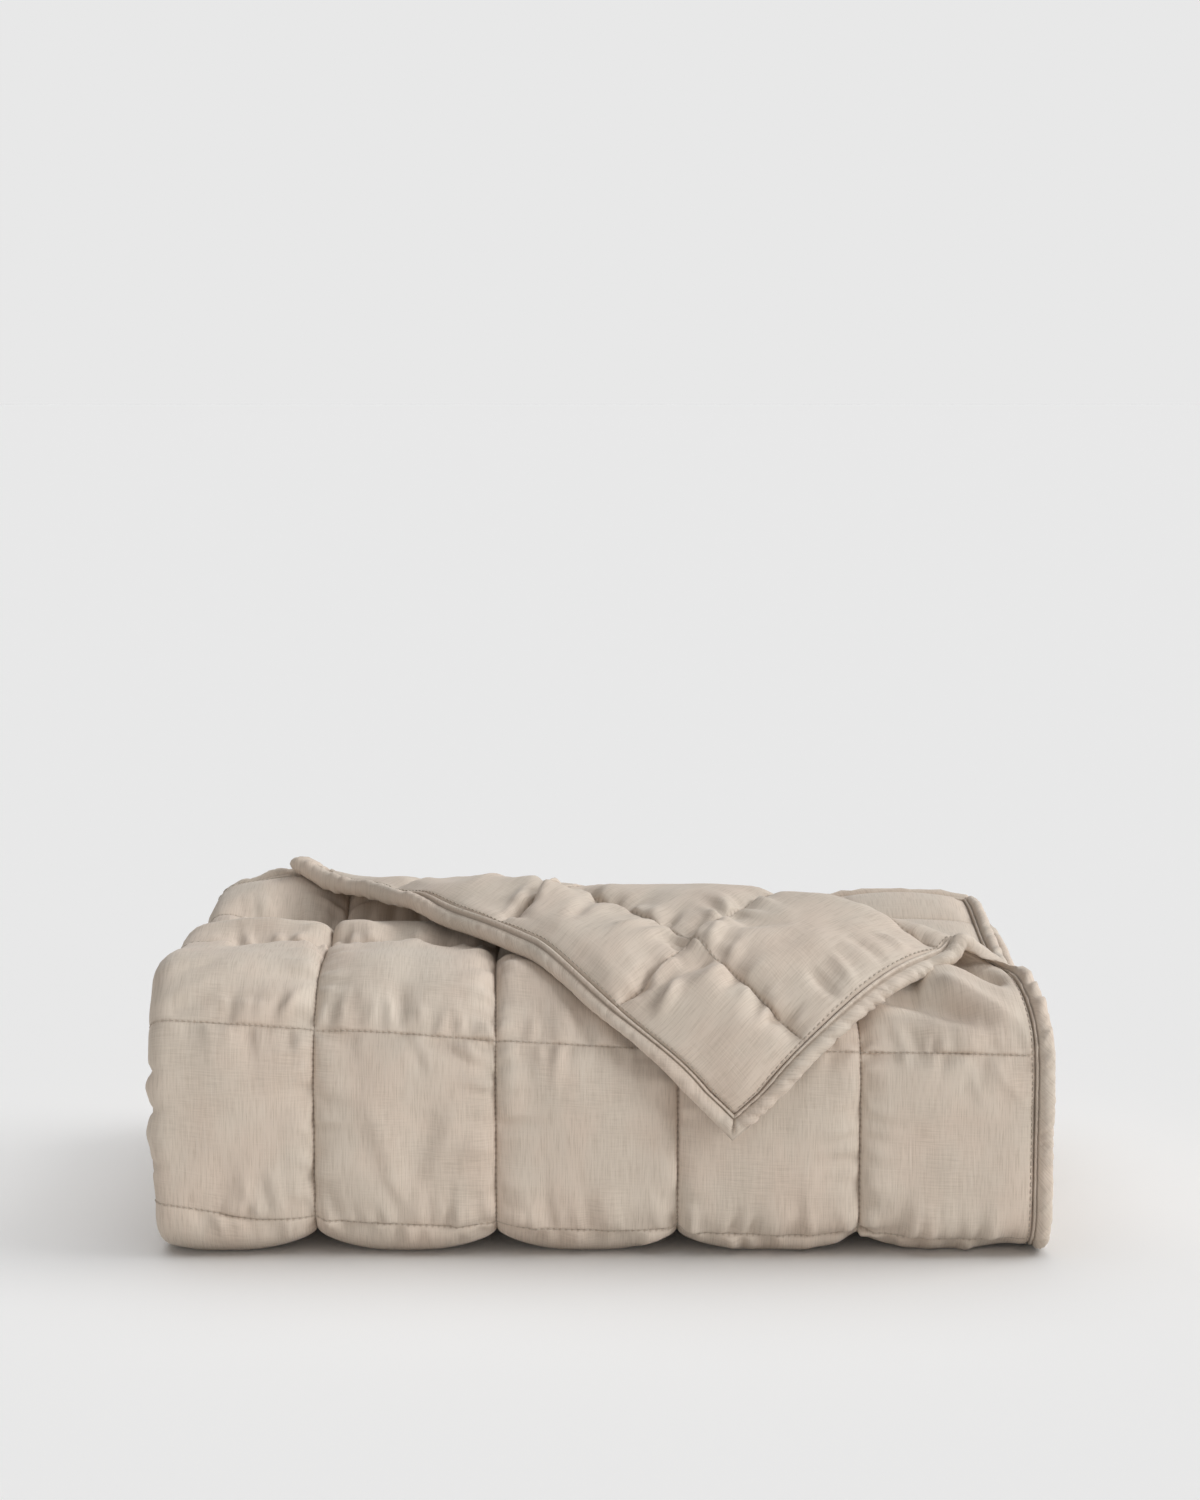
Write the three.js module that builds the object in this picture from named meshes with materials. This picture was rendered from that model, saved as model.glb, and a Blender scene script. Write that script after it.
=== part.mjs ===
// A linen quilt folded into a stack, with one corner of its top leaf turned over towards the front.
// Millimetres, +Z up, the rounded front fold towards -Y, the open bound edges towards +X.
import * as THREE from 'three';

// The quilt as it is cut and sewn
const CELL = 123;                       // pitch of the quilted squares
const FIRST_COLUMN = 0.95 * CELL;       // from the bound side edge to the first stitched column
const FIRST_ROW = 0.5 * CELL;           // from the bound end edge to the first stitched row
const CLOTH_LENGTH = 16 * CELL;
const CLOTH_WIDTH = 8 * CELL + 2 * FIRST_COLUMN;
const FULL_THICK = 15.3;                // in the middle of a square
const STITCH_THICK = 3;                 // where the stitches draw face and back together
const STITCH_DIP = 4;                   // how far the outer leaf's stitch lines lie in between the puffs
const BINDING_WIDTH = 13;
const BINDING_THICK = 12.6;
const BINDING_CROWN = 0.35;             // share of its width at which the binding is thickest
const BINDING_EDGE = 0.4;               // share of its thickness that is left at its outer edge
const SEW_GAP = 0.3;                    // between the panel's raw edge and the binding

// The folded stack
const LEAF_PITCH = 16.5;                // from one layer of quilt to the next
const STRIP_PITCH = 2 * LEAF_PITCH;     // the quilt is doubled across its width first
const LEVELS = 6;                       // doubled strips lying on each other
const OUTER_LEAF = 597;                 // width of the leaf on top of the left fold
const RIGHT_SEAM_X = 292;
const FRONT_CENTRE = 15.75;             // the first strip's middle behind the front at its heel
const TOP_RUN = 244;                    // from the end edge to the shoulder of the front fold
const STACK_DEPTH = 360;
const SHOULDER_RADIUS = 57.25;          // the front fold is round at the top and tight at the heel
const HEEL_RADIUS = 18;
const FLOOR_SINK = 2.5;                 // how far the lowest puffs are pressed flat
const SWAY = 5;                         // the left folds lie in or out by this much
const SWAY_WAVE = 97;                   // and change over this length of the quilt

// The corner that is turned over
const CREASE_SIDE = 217;                // the crease leaves the side edge this far from the corner
const CREASE_END = 470;                 // and the end edge this far from it
const ROLL_RADIUS = 13.5;
const SIDE_ROLL_RADIUS = 10;            // the roll is tighter where it starts at the side edge
const ROLL_WIDENS = 150;
const SETTLE = 70;                      // how far from the roll the flap comes down on the leaf below
const FLAP_GAP = 3;                     // between the flap and the leaf that it lies on
const TIP_HOVER = 8;                    // the hanging tip stands off the front by this more
const CORNER_PULL = 38;                 // how far the turned corner draws the top leaf to the left
const PULL_FADE = 85;                   // over this length of the side edge
const BIAS_PULL = 35;                   // and its far end is stretched this much further
const LEFT_TUCK = 20;                   // the left fold lies in by this much at the end edge
const TUCK_FROM = 0.37;                 // starting at this share of the leaf's width from its middle
const ROW_SLIP = 21;                    // rows hang this much lower at the right of the front

// Soft swells of the upper layers: where, how wide and how high
const SWELLS = [
  { x: -150, depth: 172, wideX: 130, wideDepth: 24, high: 5 },
  { x: -250, depth: 290, wideX: 60, wideDepth: 80, high: 5 },
  { x: 60, depth: 200, wideX: 130, wideDepth: 70, high: 7 },
  { x: 240, depth: 215, wideX: 110, wideDepth: 90, high: 14 },
  { x: 50, depth: 25, wideX: 180, wideDepth: 60, high: -13 },
];
const SWELL_FROM = 120;                 // they fade in between these heights
const SWELL_FULL = 185;

// How finely the cloth is stepped
const FINE_STEP = CELL / 4;
const COARSE_STEP = CELL / 2;
const COLUMN_STEP = CELL / 3;
const LEAST_STEP = 6;
const WIDE_TURN_STEP = 0.4;             // radians of a wide turn for each step
const TIGHT_TURN_STEP = 0.53;
const ROLL_PARTS = 4;                   // steps around the crease's roll, and around the left fold
const LAST_COLUMN_PARTS = 5;            // steps from the last whole column to the left fold
const ROLL_KEY = 1000;                  // keys of the steps on the roll, those before it are smaller
const STACK_KEY = 2000;                 // and those of the stack behind it

const HALF_LEAF = LEAF_PITCH / 2;
const TOP_LEVEL = (LEVELS - 0.5) * STRIP_PITCH;
const BACK_CENTRE = STACK_DEPTH - STRIP_PITCH;
const INNER_SHOULDER = SHOULDER_RADIUS - STRIP_PITCH;
const FOLD_START = OUTER_LEAF - (Math.PI / 2) * HALF_LEAF;
const FOLD_END = OUTER_LEAF + (Math.PI / 2) * HALF_LEAF;

const smooth = (from, to, value) => THREE.MathUtils.smoothstep(value, from, to);
const falling = (from, to, value) => 1 - smooth(from, to, value);

// The path of the doubled strip, seen from the side: straight runs, and turns about a radius in degrees.
// lean tells how much of a turn's length is measured on the outer leaf instead of the strip's middle.
function stripPath() {
  const firstFront = FRONT_CENTRE + HEEL_RADIUS;
  const secondFront = FRONT_CENTRE + STRIP_PITCH;
  const thirdFront = FRONT_CENTRE + 2 * STRIP_PITCH + STRIP_PITCH / 2;
  const uTurn = STRIP_PITCH / 2;
  const rows = [
    { run: TOP_RUN },
    { turn: 90, radius: SHOULDER_RADIUS, lean: 1 },
    { run: (LEVELS - 1) * STRIP_PITCH - SHOULDER_RADIUS - HEEL_RADIUS },
    { turn: 90, radius: HEEL_RADIUS, lean: 1 },
    { run: BACK_CENTRE - firstFront },
    { turn: 180, radius: uTurn, lean: 0 },
    { run: BACK_CENTRE - secondFront - HEEL_RADIUS },
    { turn: -90, radius: HEEL_RADIUS, lean: 0 },
    { run: (LEVELS - 3) * STRIP_PITCH - INNER_SHOULDER - HEEL_RADIUS },
    { turn: -90, radius: INNER_SHOULDER, lean: 0 },
    { run: BACK_CENTRE - secondFront - INNER_SHOULDER },
    { turn: -180, radius: uTurn, lean: 0 },
    { run: BACK_CENTRE - thirdFront },
    { turn: 180, radius: uTurn, lean: 0 },
    { run: CLOTH_LENGTH },
  ];
  let y = FRONT_CENTRE + SHOULDER_RADIUS + TOP_RUN;
  let z = TOP_LEVEL - FLOOR_SINK;
  let heading = Math.PI;
  let start = 0;
  return rows.map((row) => {
    const turn = THREE.MathUtils.degToRad(row.turn ?? 0);
    const length = row.run ?? Math.abs(turn) * (row.radius + row.lean * HALF_LEAF);
    const piece = { ...row, turn, length, start, y, z, heading };
    const end = alongPiece(piece, length);
    ({ y, z, heading } = end);
    start += length;
    return piece;
  });
}

function alongPiece(piece, distance) {
  if (piece.turn === 0) {
    const y = piece.y + Math.cos(piece.heading) * distance;
    const z = piece.z + Math.sin(piece.heading) * distance;
    return { y, z, heading: piece.heading };
  }
  const side = Math.sign(piece.turn);
  const toCentre = piece.heading + side * Math.PI / 2;
  const heading = piece.heading + piece.turn * distance / piece.length;
  const fromCentre = heading - side * Math.PI / 2;
  const y = piece.y + piece.radius * (Math.cos(toCentre) + Math.cos(fromCentre));
  const z = piece.z + piece.radius * (Math.sin(toCentre) + Math.sin(fromCentre));
  return { y, z, heading };
}

const PATH = stripPath();
const HEEL_END = PATH[4].start;
const BOTTOM_END = PATH[5].start;

// The strip's middle and the direction out of the fold, this far along the quilt.
function sideOn(u) {
  const piece = PATH.findLast((one) => one.start <= u) ?? PATH[0];
  const at = alongPiece(piece, u - piece.start);
  const out = at.heading - Math.PI / 2;
  return { y: at.y, z: at.z, outY: Math.cos(out), outZ: Math.sin(out) };
}

// Where a point of the doubled strip lies across it: x, its height over the strip's middle, and the turn
// of its face around the left fold.
function across(w) {
  const foldX = RIGHT_SEAM_X - FOLD_START;
  if (w <= FOLD_START) {
    return { x: RIGHT_SEAM_X - w, over: HALF_LEAF, turned: 0 };
  }
  if (w < FOLD_END) {
    const turned = (w - FOLD_START) / HALF_LEAF;
    return { x: foldX - HALF_LEAF * Math.sin(turned), over: HALF_LEAF * Math.cos(turned), turned };
  }
  const eased = (w - FOLD_END) * FOLD_START / (CLOTH_WIDTH - FOLD_END);
  return { x: foldX + eased, over: -HALF_LEAF, turned: Math.PI };
}

// How far each row has slid along the fold, more towards the right, and only around the front.
function slid(u, x) {
  const share = THREE.MathUtils.clamp((x + OUTER_LEAF / 2) / OUTER_LEAF, 0, 1);
  const front = smooth(FIRST_ROW + CELL, FIRST_ROW + 2 * CELL, u) * falling(HEEL_END, BOTTOM_END, u);
  return u + ROW_SLIP * share * front;
}

// The left fold of each pass lies a little in or out.
function sway(u) {
  return SWAY * Math.sin(u / SWAY_WAVE) * smooth(HEEL_END, BOTTOM_END, u);
}

// The turned corner: d is how far a point of the flat leaf lies past the crease, towards the corner.
const CREASE_NORM = Math.hypot(1 / CREASE_SIDE, 1 / CREASE_END);
const CREASE_W = 1 / CREASE_END / CREASE_NORM;
const CREASE_U = 1 / CREASE_SIDE / CREASE_NORM;
const ROLL_STEPS = Math.PI * ROLL_RADIUS;
const pastCrease = (u, w) => (1 - u / CREASE_SIDE - w / CREASE_END) / CREASE_NORM;

function rollRadius(u, w) {
  const alongCrease = w * CREASE_U - (u - CREASE_SIDE) * CREASE_W;
  return THREE.MathUtils.lerp(SIDE_ROLL_RADIUS, ROLL_RADIUS, smooth(0, ROLL_WIDENS, alongCrease));
}

// A point of the quilt in space. lift is its height over the middle of the cloth, towards the face.
function place(u, w, lift, floor) {
  const radius = rollRadius(u, w);
  const rollLength = Math.PI * radius;
  const bend = pastCrease(u, w) + rollLength / 2;
  const pull = CORNER_PULL * falling(CREASE_SIDE, CREASE_SIDE + PULL_FADE, u)
    * THREE.MathUtils.clamp(1 - w / (4 * CELL), 0, 1);
  if (w > FOLD_START || bend <= 0) {
    const flat = across(w);
    const over = flat.over + lift * Math.cos(flat.turned);
    const leftShare = falling(-OUTER_LEAF / 2, -TUCK_FROM * OUTER_LEAF, flat.x);
    const tuck = LEFT_TUCK * falling(0, 2 * CELL, u) * leftShare;
    const x = flat.x - lift * Math.sin(flat.turned) + tuck - (w < FOLD_START ? pull : 0);
    return settled(slid(u, flat.x), x + sway(u), over, floor);
  }
  const turned = Math.min(bend / radius, Math.PI);
  const past = bend - rollLength;
  const rolled = past > 0 ? -rollLength / 2 - past : radius * Math.sin(turned) - rollLength / 2;
  const moved = bend - rollLength / 2 - rolled + lift * Math.sin(turned);
  const newU = u + moved * CREASE_U;
  const newW = w + moved * CREASE_W;
  const hanging = smooth(FIRST_ROW + 2 * CELL, FIRST_ROW + 3 * CELL, newU);
  const lying = LEAF_PITCH + FLAP_GAP + TIP_HOVER * hanging;
  const high = past > 0
    ? lying + (2 * radius - lying) * Math.exp(-((past / SETTLE) ** 2))
    : radius * (1 - Math.cos(turned));
  const farPull = CORNER_PULL + BIAS_PULL * w / CREASE_END;
  const drawn = THREE.MathUtils.lerp(pull, farPull, smooth(0, rollLength, bend));
  const over = HALF_LEAF + high + lift * Math.cos(turned);
  return settled(newU, RIGHT_SEAM_X - newW - drawn, over, floor);
}

// The last step to space: the swells of the upper layers, and the floor that presses the puffs flat.
function settled(u, x, over, floor) {
  const side = sideOn(u);
  const y = side.y + side.outY * over;
  const z = side.z + side.outZ * over;
  const swell = SWELLS.reduce((sum, one) => sum + one.high
    * Math.exp(-(((x - one.x) / one.wideX) ** 2) - ((y - one.depth) / one.wideDepth) ** 2), 0);
  return new THREE.Vector3(x, y, Math.max(floor, z + swell * smooth(SWELL_FROM, SWELL_FULL, z)));
}

// Puffs between the stitched rows and columns: 0 on a stitch line, 1 in the middle of a square.
function puff(distance, first, total) {
  if (distance < first || distance > total - first) {
    const near = Math.min(distance, total - distance);
    return Math.sqrt(Math.max(0, Math.sin(Math.PI * near / first)));
  }
  return Math.sqrt(Math.abs(Math.sin(Math.PI * (distance - first) / CELL)));
}

// Half the cloth's thickness, and how far its middle lies in. The outer leaf bulges out over the fold, so
// only its puffs reach out, apart from the underside that the weight presses flat.
function fullness(u, w) {
  const full = puff(u, FIRST_ROW, CLOTH_LENGTH) * puff(w, FIRST_COLUMN, CLOTH_WIDTH);
  const fromEdge = smooth(0, FINE_STEP, w) * smooth(0, FINE_STEP, u);
  const flap = smooth(-ROLL_STEPS, 0, pastCrease(u, w));
  const pressed = smooth(HEEL_END, HEEL_END + COARSE_STEP, u);
  const outer = fromEdge * (1 - flap) * (1 - pressed) * falling(FOLD_START, FOLD_END, w);
  const half = (STITCH_THICK + (FULL_THICK - STITCH_THICK) * full) / 2;
  return { half, dip: STITCH_DIP * (1 - full) * outer };
}

// Steps along the quilt for one column. Past the crease each step has a key, so that columns are joined
// along the crease and not across it.
function stepsAlong(w) {
  const marks = [];
  for (let u = 0; u <= CLOTH_LENGTH; u += u < BOTTOM_END ? FINE_STEP : COARSE_STEP) {
    marks.push(u);
  }
  for (const piece of PATH) {
    const turnStep = piece.radius > HALF_LEAF + HEEL_RADIUS ? WIDE_TURN_STEP : TIGHT_TURN_STEP;
    const parts = Math.ceil(Math.abs(piece.turn) / turnStep);
    for (let k = 0; k <= parts && parts > 0; k += 1) {
      const u = piece.start + piece.length * k / parts;
      if (u < CLOTH_LENGTH && marks.every((mark) => Math.abs(mark - u) > LEAST_STEP)) {
        marks.push(u);
      }
    }
  }
  const creaseU = CREASE_SIDE * (1 - w / CREASE_END);
  const rolls = [];
  for (let k = -ROLL_PARTS / 2; k <= ROLL_PARTS / 2; k += 1) {
    const u = creaseU + k * ROLL_STEPS / ROLL_PARTS / CREASE_U;
    if (u > 1 && w < FOLD_START) {
      rolls.push({ u, key: ROLL_KEY + k });
    }
  }
  const clear = (u) => u === 0 || rolls.every((one) => Math.abs(one.u - u) > LEAST_STEP);
  const base = marks.filter(clear).map((u) => {
    const before = rolls.length > 0 && u < rolls[0].u;
    return { u, key: before ? u : STACK_KEY + u };
  });
  return [...base, ...rolls].sort((one, other) => one.u - other.u);
}

function stepsAcross() {
  const steps = [];
  for (let w = 0; w < FIRST_COLUMN; w += FIRST_COLUMN / 3) {
    steps.push(w);
  }
  const lastColumn = FIRST_COLUMN + 3 * CELL;
  for (let w = FIRST_COLUMN; w < lastColumn; w += COLUMN_STEP) {
    steps.push(w);
  }
  for (let k = 0; k < LAST_COLUMN_PARTS; k += 1) {
    steps.push(lastColumn + (FOLD_START - lastColumn) * k / LAST_COLUMN_PARTS);
  }
  for (let k = 0; k <= ROLL_PARTS; k += 1) {
    steps.push(FOLD_START + (FOLD_END - FOLD_START) * k / ROLL_PARTS);
  }
  const inner = FIRST_COLUMN + 4 * CELL + COARSE_STEP;
  for (let w = inner; w <= CLOTH_WIDTH - FIRST_COLUMN; w += COARSE_STEP) {
    steps.push(w);
  }
  steps.push(CLOTH_WIDTH - FIRST_COLUMN / 2, CLOTH_WIDTH);
  return steps;
}

const COLUMNS = stepsAcross().map((w) => stepsAlong(w).map((step) => ({ ...step, w })));

// Two neighbouring columns joined by triangles, in the order of their keys.
function joined(left, right) {
  const triangles = [];
  let i = 0;
  let j = 0;
  while (i < left.length - 1 || j < right.length - 1) {
    const leftKey = left[i + 1]?.key ?? Infinity;
    const rightKey = right[j + 1]?.key ?? Infinity;
    if (leftKey <= rightKey) {
      triangles.push([left[i], right[j], left[i + 1]]);
      i += 1;
    } else {
      triangles.push([left[i], right[j], right[j + 1]]);
      j += 1;
    }
  }
  return triangles;
}

function solid(points, triangles) {
  const geometry = new THREE.BufferGeometry();
  const numbers = points.flatMap((point) => point.toArray());
  geometry.setAttribute('position', new THREE.Float32BufferAttribute(numbers, 3));
  geometry.setIndex(triangles.flat());
  geometry.computeVertexNormals();
  return geometry;
}

// The corners of the flat panel's edge in order, with how far each step reaches out over the edge.
function edgeLoop() {
  const first = COLUMNS[0];
  const last = COLUMNS.at(-1);
  const side = first.map((step) => ({ step, outW: -1, outU: 0 }));
  const far = COLUMNS.slice(1).map((column) => ({ step: column.at(-1), outW: 0, outU: 1 }));
  const back = last.slice(0, -1).reverse().map((step) => ({ step, outW: 1, outU: 0 }));
  const near = COLUMNS.slice(1, -1).reverse().map((column) => ({ step: column[0], outW: 0, outU: -1 }));
  side[0].outU = -1;
  side.at(-1).outU = 1;
  far.at(-1).outW = 1;
  back.at(-1).outU = -1;
  return [...side, ...far, ...back, ...near];
}

function quiltPanel() {
  const points = [];
  const triangles = [];
  for (const column of COLUMNS) {
    for (const step of column) {
      const { half, dip } = fullness(step.u, step.w);
      step.face = points.push(place(step.u, step.w, half - dip, 0)) - 1;
      step.back = points.push(place(step.u, step.w, -half - dip, 0)) - 1;
    }
  }
  for (let k = 0; k < COLUMNS.length - 1; k += 1) {
    for (const [a, b, c] of joined(COLUMNS[k], COLUMNS[k + 1])) {
      triangles.push([a.face, b.face, c.face], [a.back, c.back, b.back]);
    }
  }
  const loop = edgeLoop();
  loop.forEach(({ step }, k) => {
    const next = loop[(k + 1) % loop.length].step;
    triangles.push([step.face, next.face, step.back], [next.face, next.back, step.back]);
  });
  return solid(points, triangles);
}

// The binding is a soft flattened roll around all four edges, mitred at the corners.
function bindingRing() {
  const half = BINDING_THICK / 2;
  const section = [
    { reach: 0, lift: -STITCH_THICK / 2 },
    { reach: BINDING_CROWN * BINDING_WIDTH, lift: -half },
    { reach: BINDING_WIDTH, lift: -BINDING_EDGE * half },
    { reach: BINDING_WIDTH, lift: BINDING_EDGE * half },
    { reach: BINDING_CROWN * BINDING_WIDTH, lift: half },
    { reach: 0, lift: STITCH_THICK / 2 },
  ];
  const loop = edgeLoop();
  const points = loop.flatMap(({ step, outW, outU }) => section.map(({ reach, lift }) => {
    const out = SEW_GAP + reach;
    return place(step.u + outU * out, step.w + outW * out, lift, SEW_GAP);
  }));
  const triangles = [];
  const sides = section.length;
  loop.forEach((_, k) => {
    const here = k * sides;
    const next = ((k + 1) % loop.length) * sides;
    for (let side = 0; side < sides; side += 1) {
      const after = (side + 1) % sides;
      triangles.push([here + side, here + after, next + side], [next + side, here + after, next + after]);
    }
  });
  return solid(points, triangles);
}

function linen(colour) {
  return new THREE.MeshStandardMaterial({ color: colour, roughness: 0.92, metalness: 0 });
}

const quilt = new THREE.Group();
const panel = new THREE.Mesh(quiltPanel(), linen('#c6b8a4'));
panel.name = 'quilt_panel';
const binding = new THREE.Mesh(bindingRing(), linen('#c9bca9'));
binding.name = 'binding';
quilt.add(panel, binding);

// The origin is the middle of the folded stack's footprint, on the surface that it rests on.
const box = new THREE.Box3().setFromObject(quilt);
const middle = box.getCenter(new THREE.Vector3());
for (const mesh of quilt.children) {
  mesh.geometry.translate(-middle.x, -middle.y, 0);
}

export default quilt;
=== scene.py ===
import math

import bmesh
import bpy
import numpy as np
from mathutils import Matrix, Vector


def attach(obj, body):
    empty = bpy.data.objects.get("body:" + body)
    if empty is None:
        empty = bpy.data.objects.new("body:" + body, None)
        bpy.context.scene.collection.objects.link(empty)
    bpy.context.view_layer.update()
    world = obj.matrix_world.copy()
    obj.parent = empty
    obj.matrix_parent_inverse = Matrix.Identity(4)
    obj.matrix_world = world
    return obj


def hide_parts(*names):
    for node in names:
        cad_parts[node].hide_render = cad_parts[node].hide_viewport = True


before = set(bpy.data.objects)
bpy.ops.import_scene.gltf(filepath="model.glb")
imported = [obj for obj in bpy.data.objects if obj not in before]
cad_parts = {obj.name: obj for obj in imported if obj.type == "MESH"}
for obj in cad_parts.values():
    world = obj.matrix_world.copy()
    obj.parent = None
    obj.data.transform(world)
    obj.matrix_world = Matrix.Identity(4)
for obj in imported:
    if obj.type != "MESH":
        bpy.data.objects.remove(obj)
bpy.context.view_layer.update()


# The quilted panel: linen face and back around a thin filling, stitched together in squares.
# It is doubled across its width, folded in a nest of strips, and one corner of its top leaf is turned over.
# The cloth is laid out flat by u, along its length, and w, across it, and each point is then folded.
CELL = 0.123
ROW_COUNT = 16
WHOLE_COLUMNS = 8
FIRST_COLUMN = 0.95 * CELL
FIRST_ROW = 0.5 * CELL
CLOTH_LENGTH = ROW_COUNT * CELL
CLOTH_WIDTH = WHOLE_COLUMNS * CELL + 2 * FIRST_COLUMN
ROWS = [FIRST_ROW + k * CELL for k in range(ROW_COUNT)]
COLUMNS = [FIRST_COLUMN + k * CELL for k in range(WHOLE_COLUMNS + 1)]


def eased(share):
    return share * share * (3 - 2 * share)


def rising(start, end, value):
    return eased(np.clip((value - start) / (end - start), 0, 1))


def falling(start, end, value):
    return 1 - rising(start, end, value)


def mixed(first, second, share):
    return first + (second - first) * share


# The nest of strips, seen from the side: straight runs and turns along the middle of each doubled strip.
LEAF_PITCH = 0.0165
HALF_LEAF = LEAF_PITCH / 2
STRIP_PITCH = 2 * LEAF_PITCH
LEVELS = 6
TOP_RUN = 0.244
STACK_DEPTH = 0.360
FRONT_CENTRE = 0.01575
BACK_CENTRE = STACK_DEPTH - STRIP_PITCH
SHOULDER_RADIUS = 0.05725
INNER_SHOULDER = SHOULDER_RADIUS - STRIP_PITCH
HEEL_RADIUS = 0.018
U_TURN = STRIP_PITCH / 2
FLOOR_SINK = 0.0025


def along_piece(piece, distance):
    """The place that far along a run or turn, from front to back and upwards, and its heading there."""
    if piece["turn"] == 0:
        heading = piece["heading"] + 0 * distance
        y = piece["y"] + math.cos(piece["heading"]) * distance
        z = piece["z"] + math.sin(piece["heading"]) * distance
        return y, z, heading
    side = math.copysign(1, piece["turn"])
    to_centre = piece["heading"] + side * math.pi / 2
    heading = piece["heading"] + piece["turn"] * distance / piece["length"]
    from_centre = heading - side * math.pi / 2
    y = piece["y"] + piece["radius"] * (math.cos(to_centre) + np.cos(from_centre))
    z = piece["z"] + piece["radius"] * (math.sin(to_centre) + np.sin(from_centre))
    return y, z, heading


def strip_path():
    """From the cloth's top end forward, down the front, back along the floor and into the nest."""
    front_run = (LEVELS - 1) * STRIP_PITCH - SHOULDER_RADIUS - HEEL_RADIUS
    inner_front_run = (LEVELS - 3) * STRIP_PITCH - INNER_SHOULDER - HEEL_RADIUS
    second_front = FRONT_CENTRE + STRIP_PITCH
    third_front = FRONT_CENTRE + 2.5 * STRIP_PITCH
    rows = [
        {"run": TOP_RUN},
        {"turn": 90, "radius": SHOULDER_RADIUS, "outer_by": HALF_LEAF},
        {"run": front_run},
        {"turn": 90, "radius": HEEL_RADIUS, "outer_by": HALF_LEAF},
        {"run": BACK_CENTRE - FRONT_CENTRE - HEEL_RADIUS},
        {"turn": 180, "radius": U_TURN},
        {"run": BACK_CENTRE - second_front - HEEL_RADIUS},
        {"turn": -90, "radius": HEEL_RADIUS},
        {"run": inner_front_run},
        {"turn": -90, "radius": INNER_SHOULDER},
        {"run": BACK_CENTRE - second_front - INNER_SHOULDER},
        {"turn": -180, "radius": U_TURN},
        {"run": BACK_CENTRE - third_front},
        {"turn": 180, "radius": U_TURN},
        {"run": CLOTH_LENGTH},
    ]
    y = FRONT_CENTRE + SHOULDER_RADIUS + TOP_RUN
    z = (LEVELS - 0.5) * STRIP_PITCH - FLOOR_SINK
    heading = math.pi
    start = 0
    pieces = []
    for row in rows:
        turn = math.radians(row.get("turn", 0))
        length = row["run"] if "run" in row else abs(turn) * (row["radius"] + row.get("outer_by", 0))
        piece = {**row, "turn": turn, "length": length, "start": start}
        piece.update(y=y, z=z, heading=heading)
        y, z, heading = along_piece(piece, length)
        start += length
        pieces.append(piece)
    return pieces


PATH = strip_path()
HEEL_END = PATH[4]["start"]
BOTTOM_END = PATH[5]["start"]


def side_on(u):
    """Where the strip's middle lies at u, seen from the side, and the direction outwards from it."""
    y, z, heading = np.zeros_like(u), np.zeros_like(u), np.zeros_like(u)
    for piece in PATH:
        here = u >= (piece["start"] if piece["start"] > 0 else -CELL)
        y[here], z[here], heading[here] = along_piece(piece, u[here] - piece["start"])
    out = heading - math.pi / 2
    return y, z, np.cos(out), np.sin(out)


# The doubling of each strip across the cloth's width, with its fold at the left.
OUTER_LEAF = 0.597
RIGHT_SEAM_X = 0.292
FOLD_START = OUTER_LEAF - math.pi / 2 * HALF_LEAF
FOLD_END = OUTER_LEAF + math.pi / 2 * HALF_LEAF


def across(w):
    """Where w lies from left to right, how far out from the strip's middle, and how far round the fold."""
    fold_x = RIGHT_SEAM_X - FOLD_START
    turned = np.clip((w - FOLD_START) / HALF_LEAF, 0, math.pi)
    inner_x = (w - FOLD_END) * FOLD_START / (CLOTH_WIDTH - FOLD_END)
    x = np.where(w <= FOLD_START, RIGHT_SEAM_X - w, fold_x - HALF_LEAF * np.sin(turned))
    x = np.where(w >= FOLD_END, fold_x + inner_x, x)
    return x, HALF_LEAF * np.cos(turned), turned


ROW_SLIP = 0.021
LOW_SLIP = 0.008
LOW_SLIP_SIDE = (0, 0.12)
LOW_SLIP_FRONT = (0.36, 0.42)


def slid(u, x):
    """The rows of squares slope down the front towards the right, the lowest one all along."""
    share = np.clip((x + OUTER_LEAF / 2) / OUTER_LEAF, 0, 1)
    front = rising(FIRST_ROW + CELL, FIRST_ROW + 2 * CELL, u) * falling(HEEL_END, BOTTOM_END, u)
    low = rising(*LOW_SLIP_SIDE, share) * rising(*LOW_SLIP_FRONT, u) * falling(HEEL_END, BOTTOM_END, u)
    return u + ROW_SLIP * share * front + LOW_SLIP * low


# The crease that the corner is turned over: it cuts the side edge and the top end at these distances.
CREASE_SIDE = 0.217
CREASE_END = 0.470
CREASE_NORM = math.hypot(1 / CREASE_SIDE, 1 / CREASE_END)
CREASE_W = 1 / CREASE_END / CREASE_NORM
CREASE_U = 1 / CREASE_SIDE / CREASE_NORM


def past_crease(u, w):
    return (1 - u / CREASE_SIDE - w / CREASE_END) / CREASE_NORM


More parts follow.
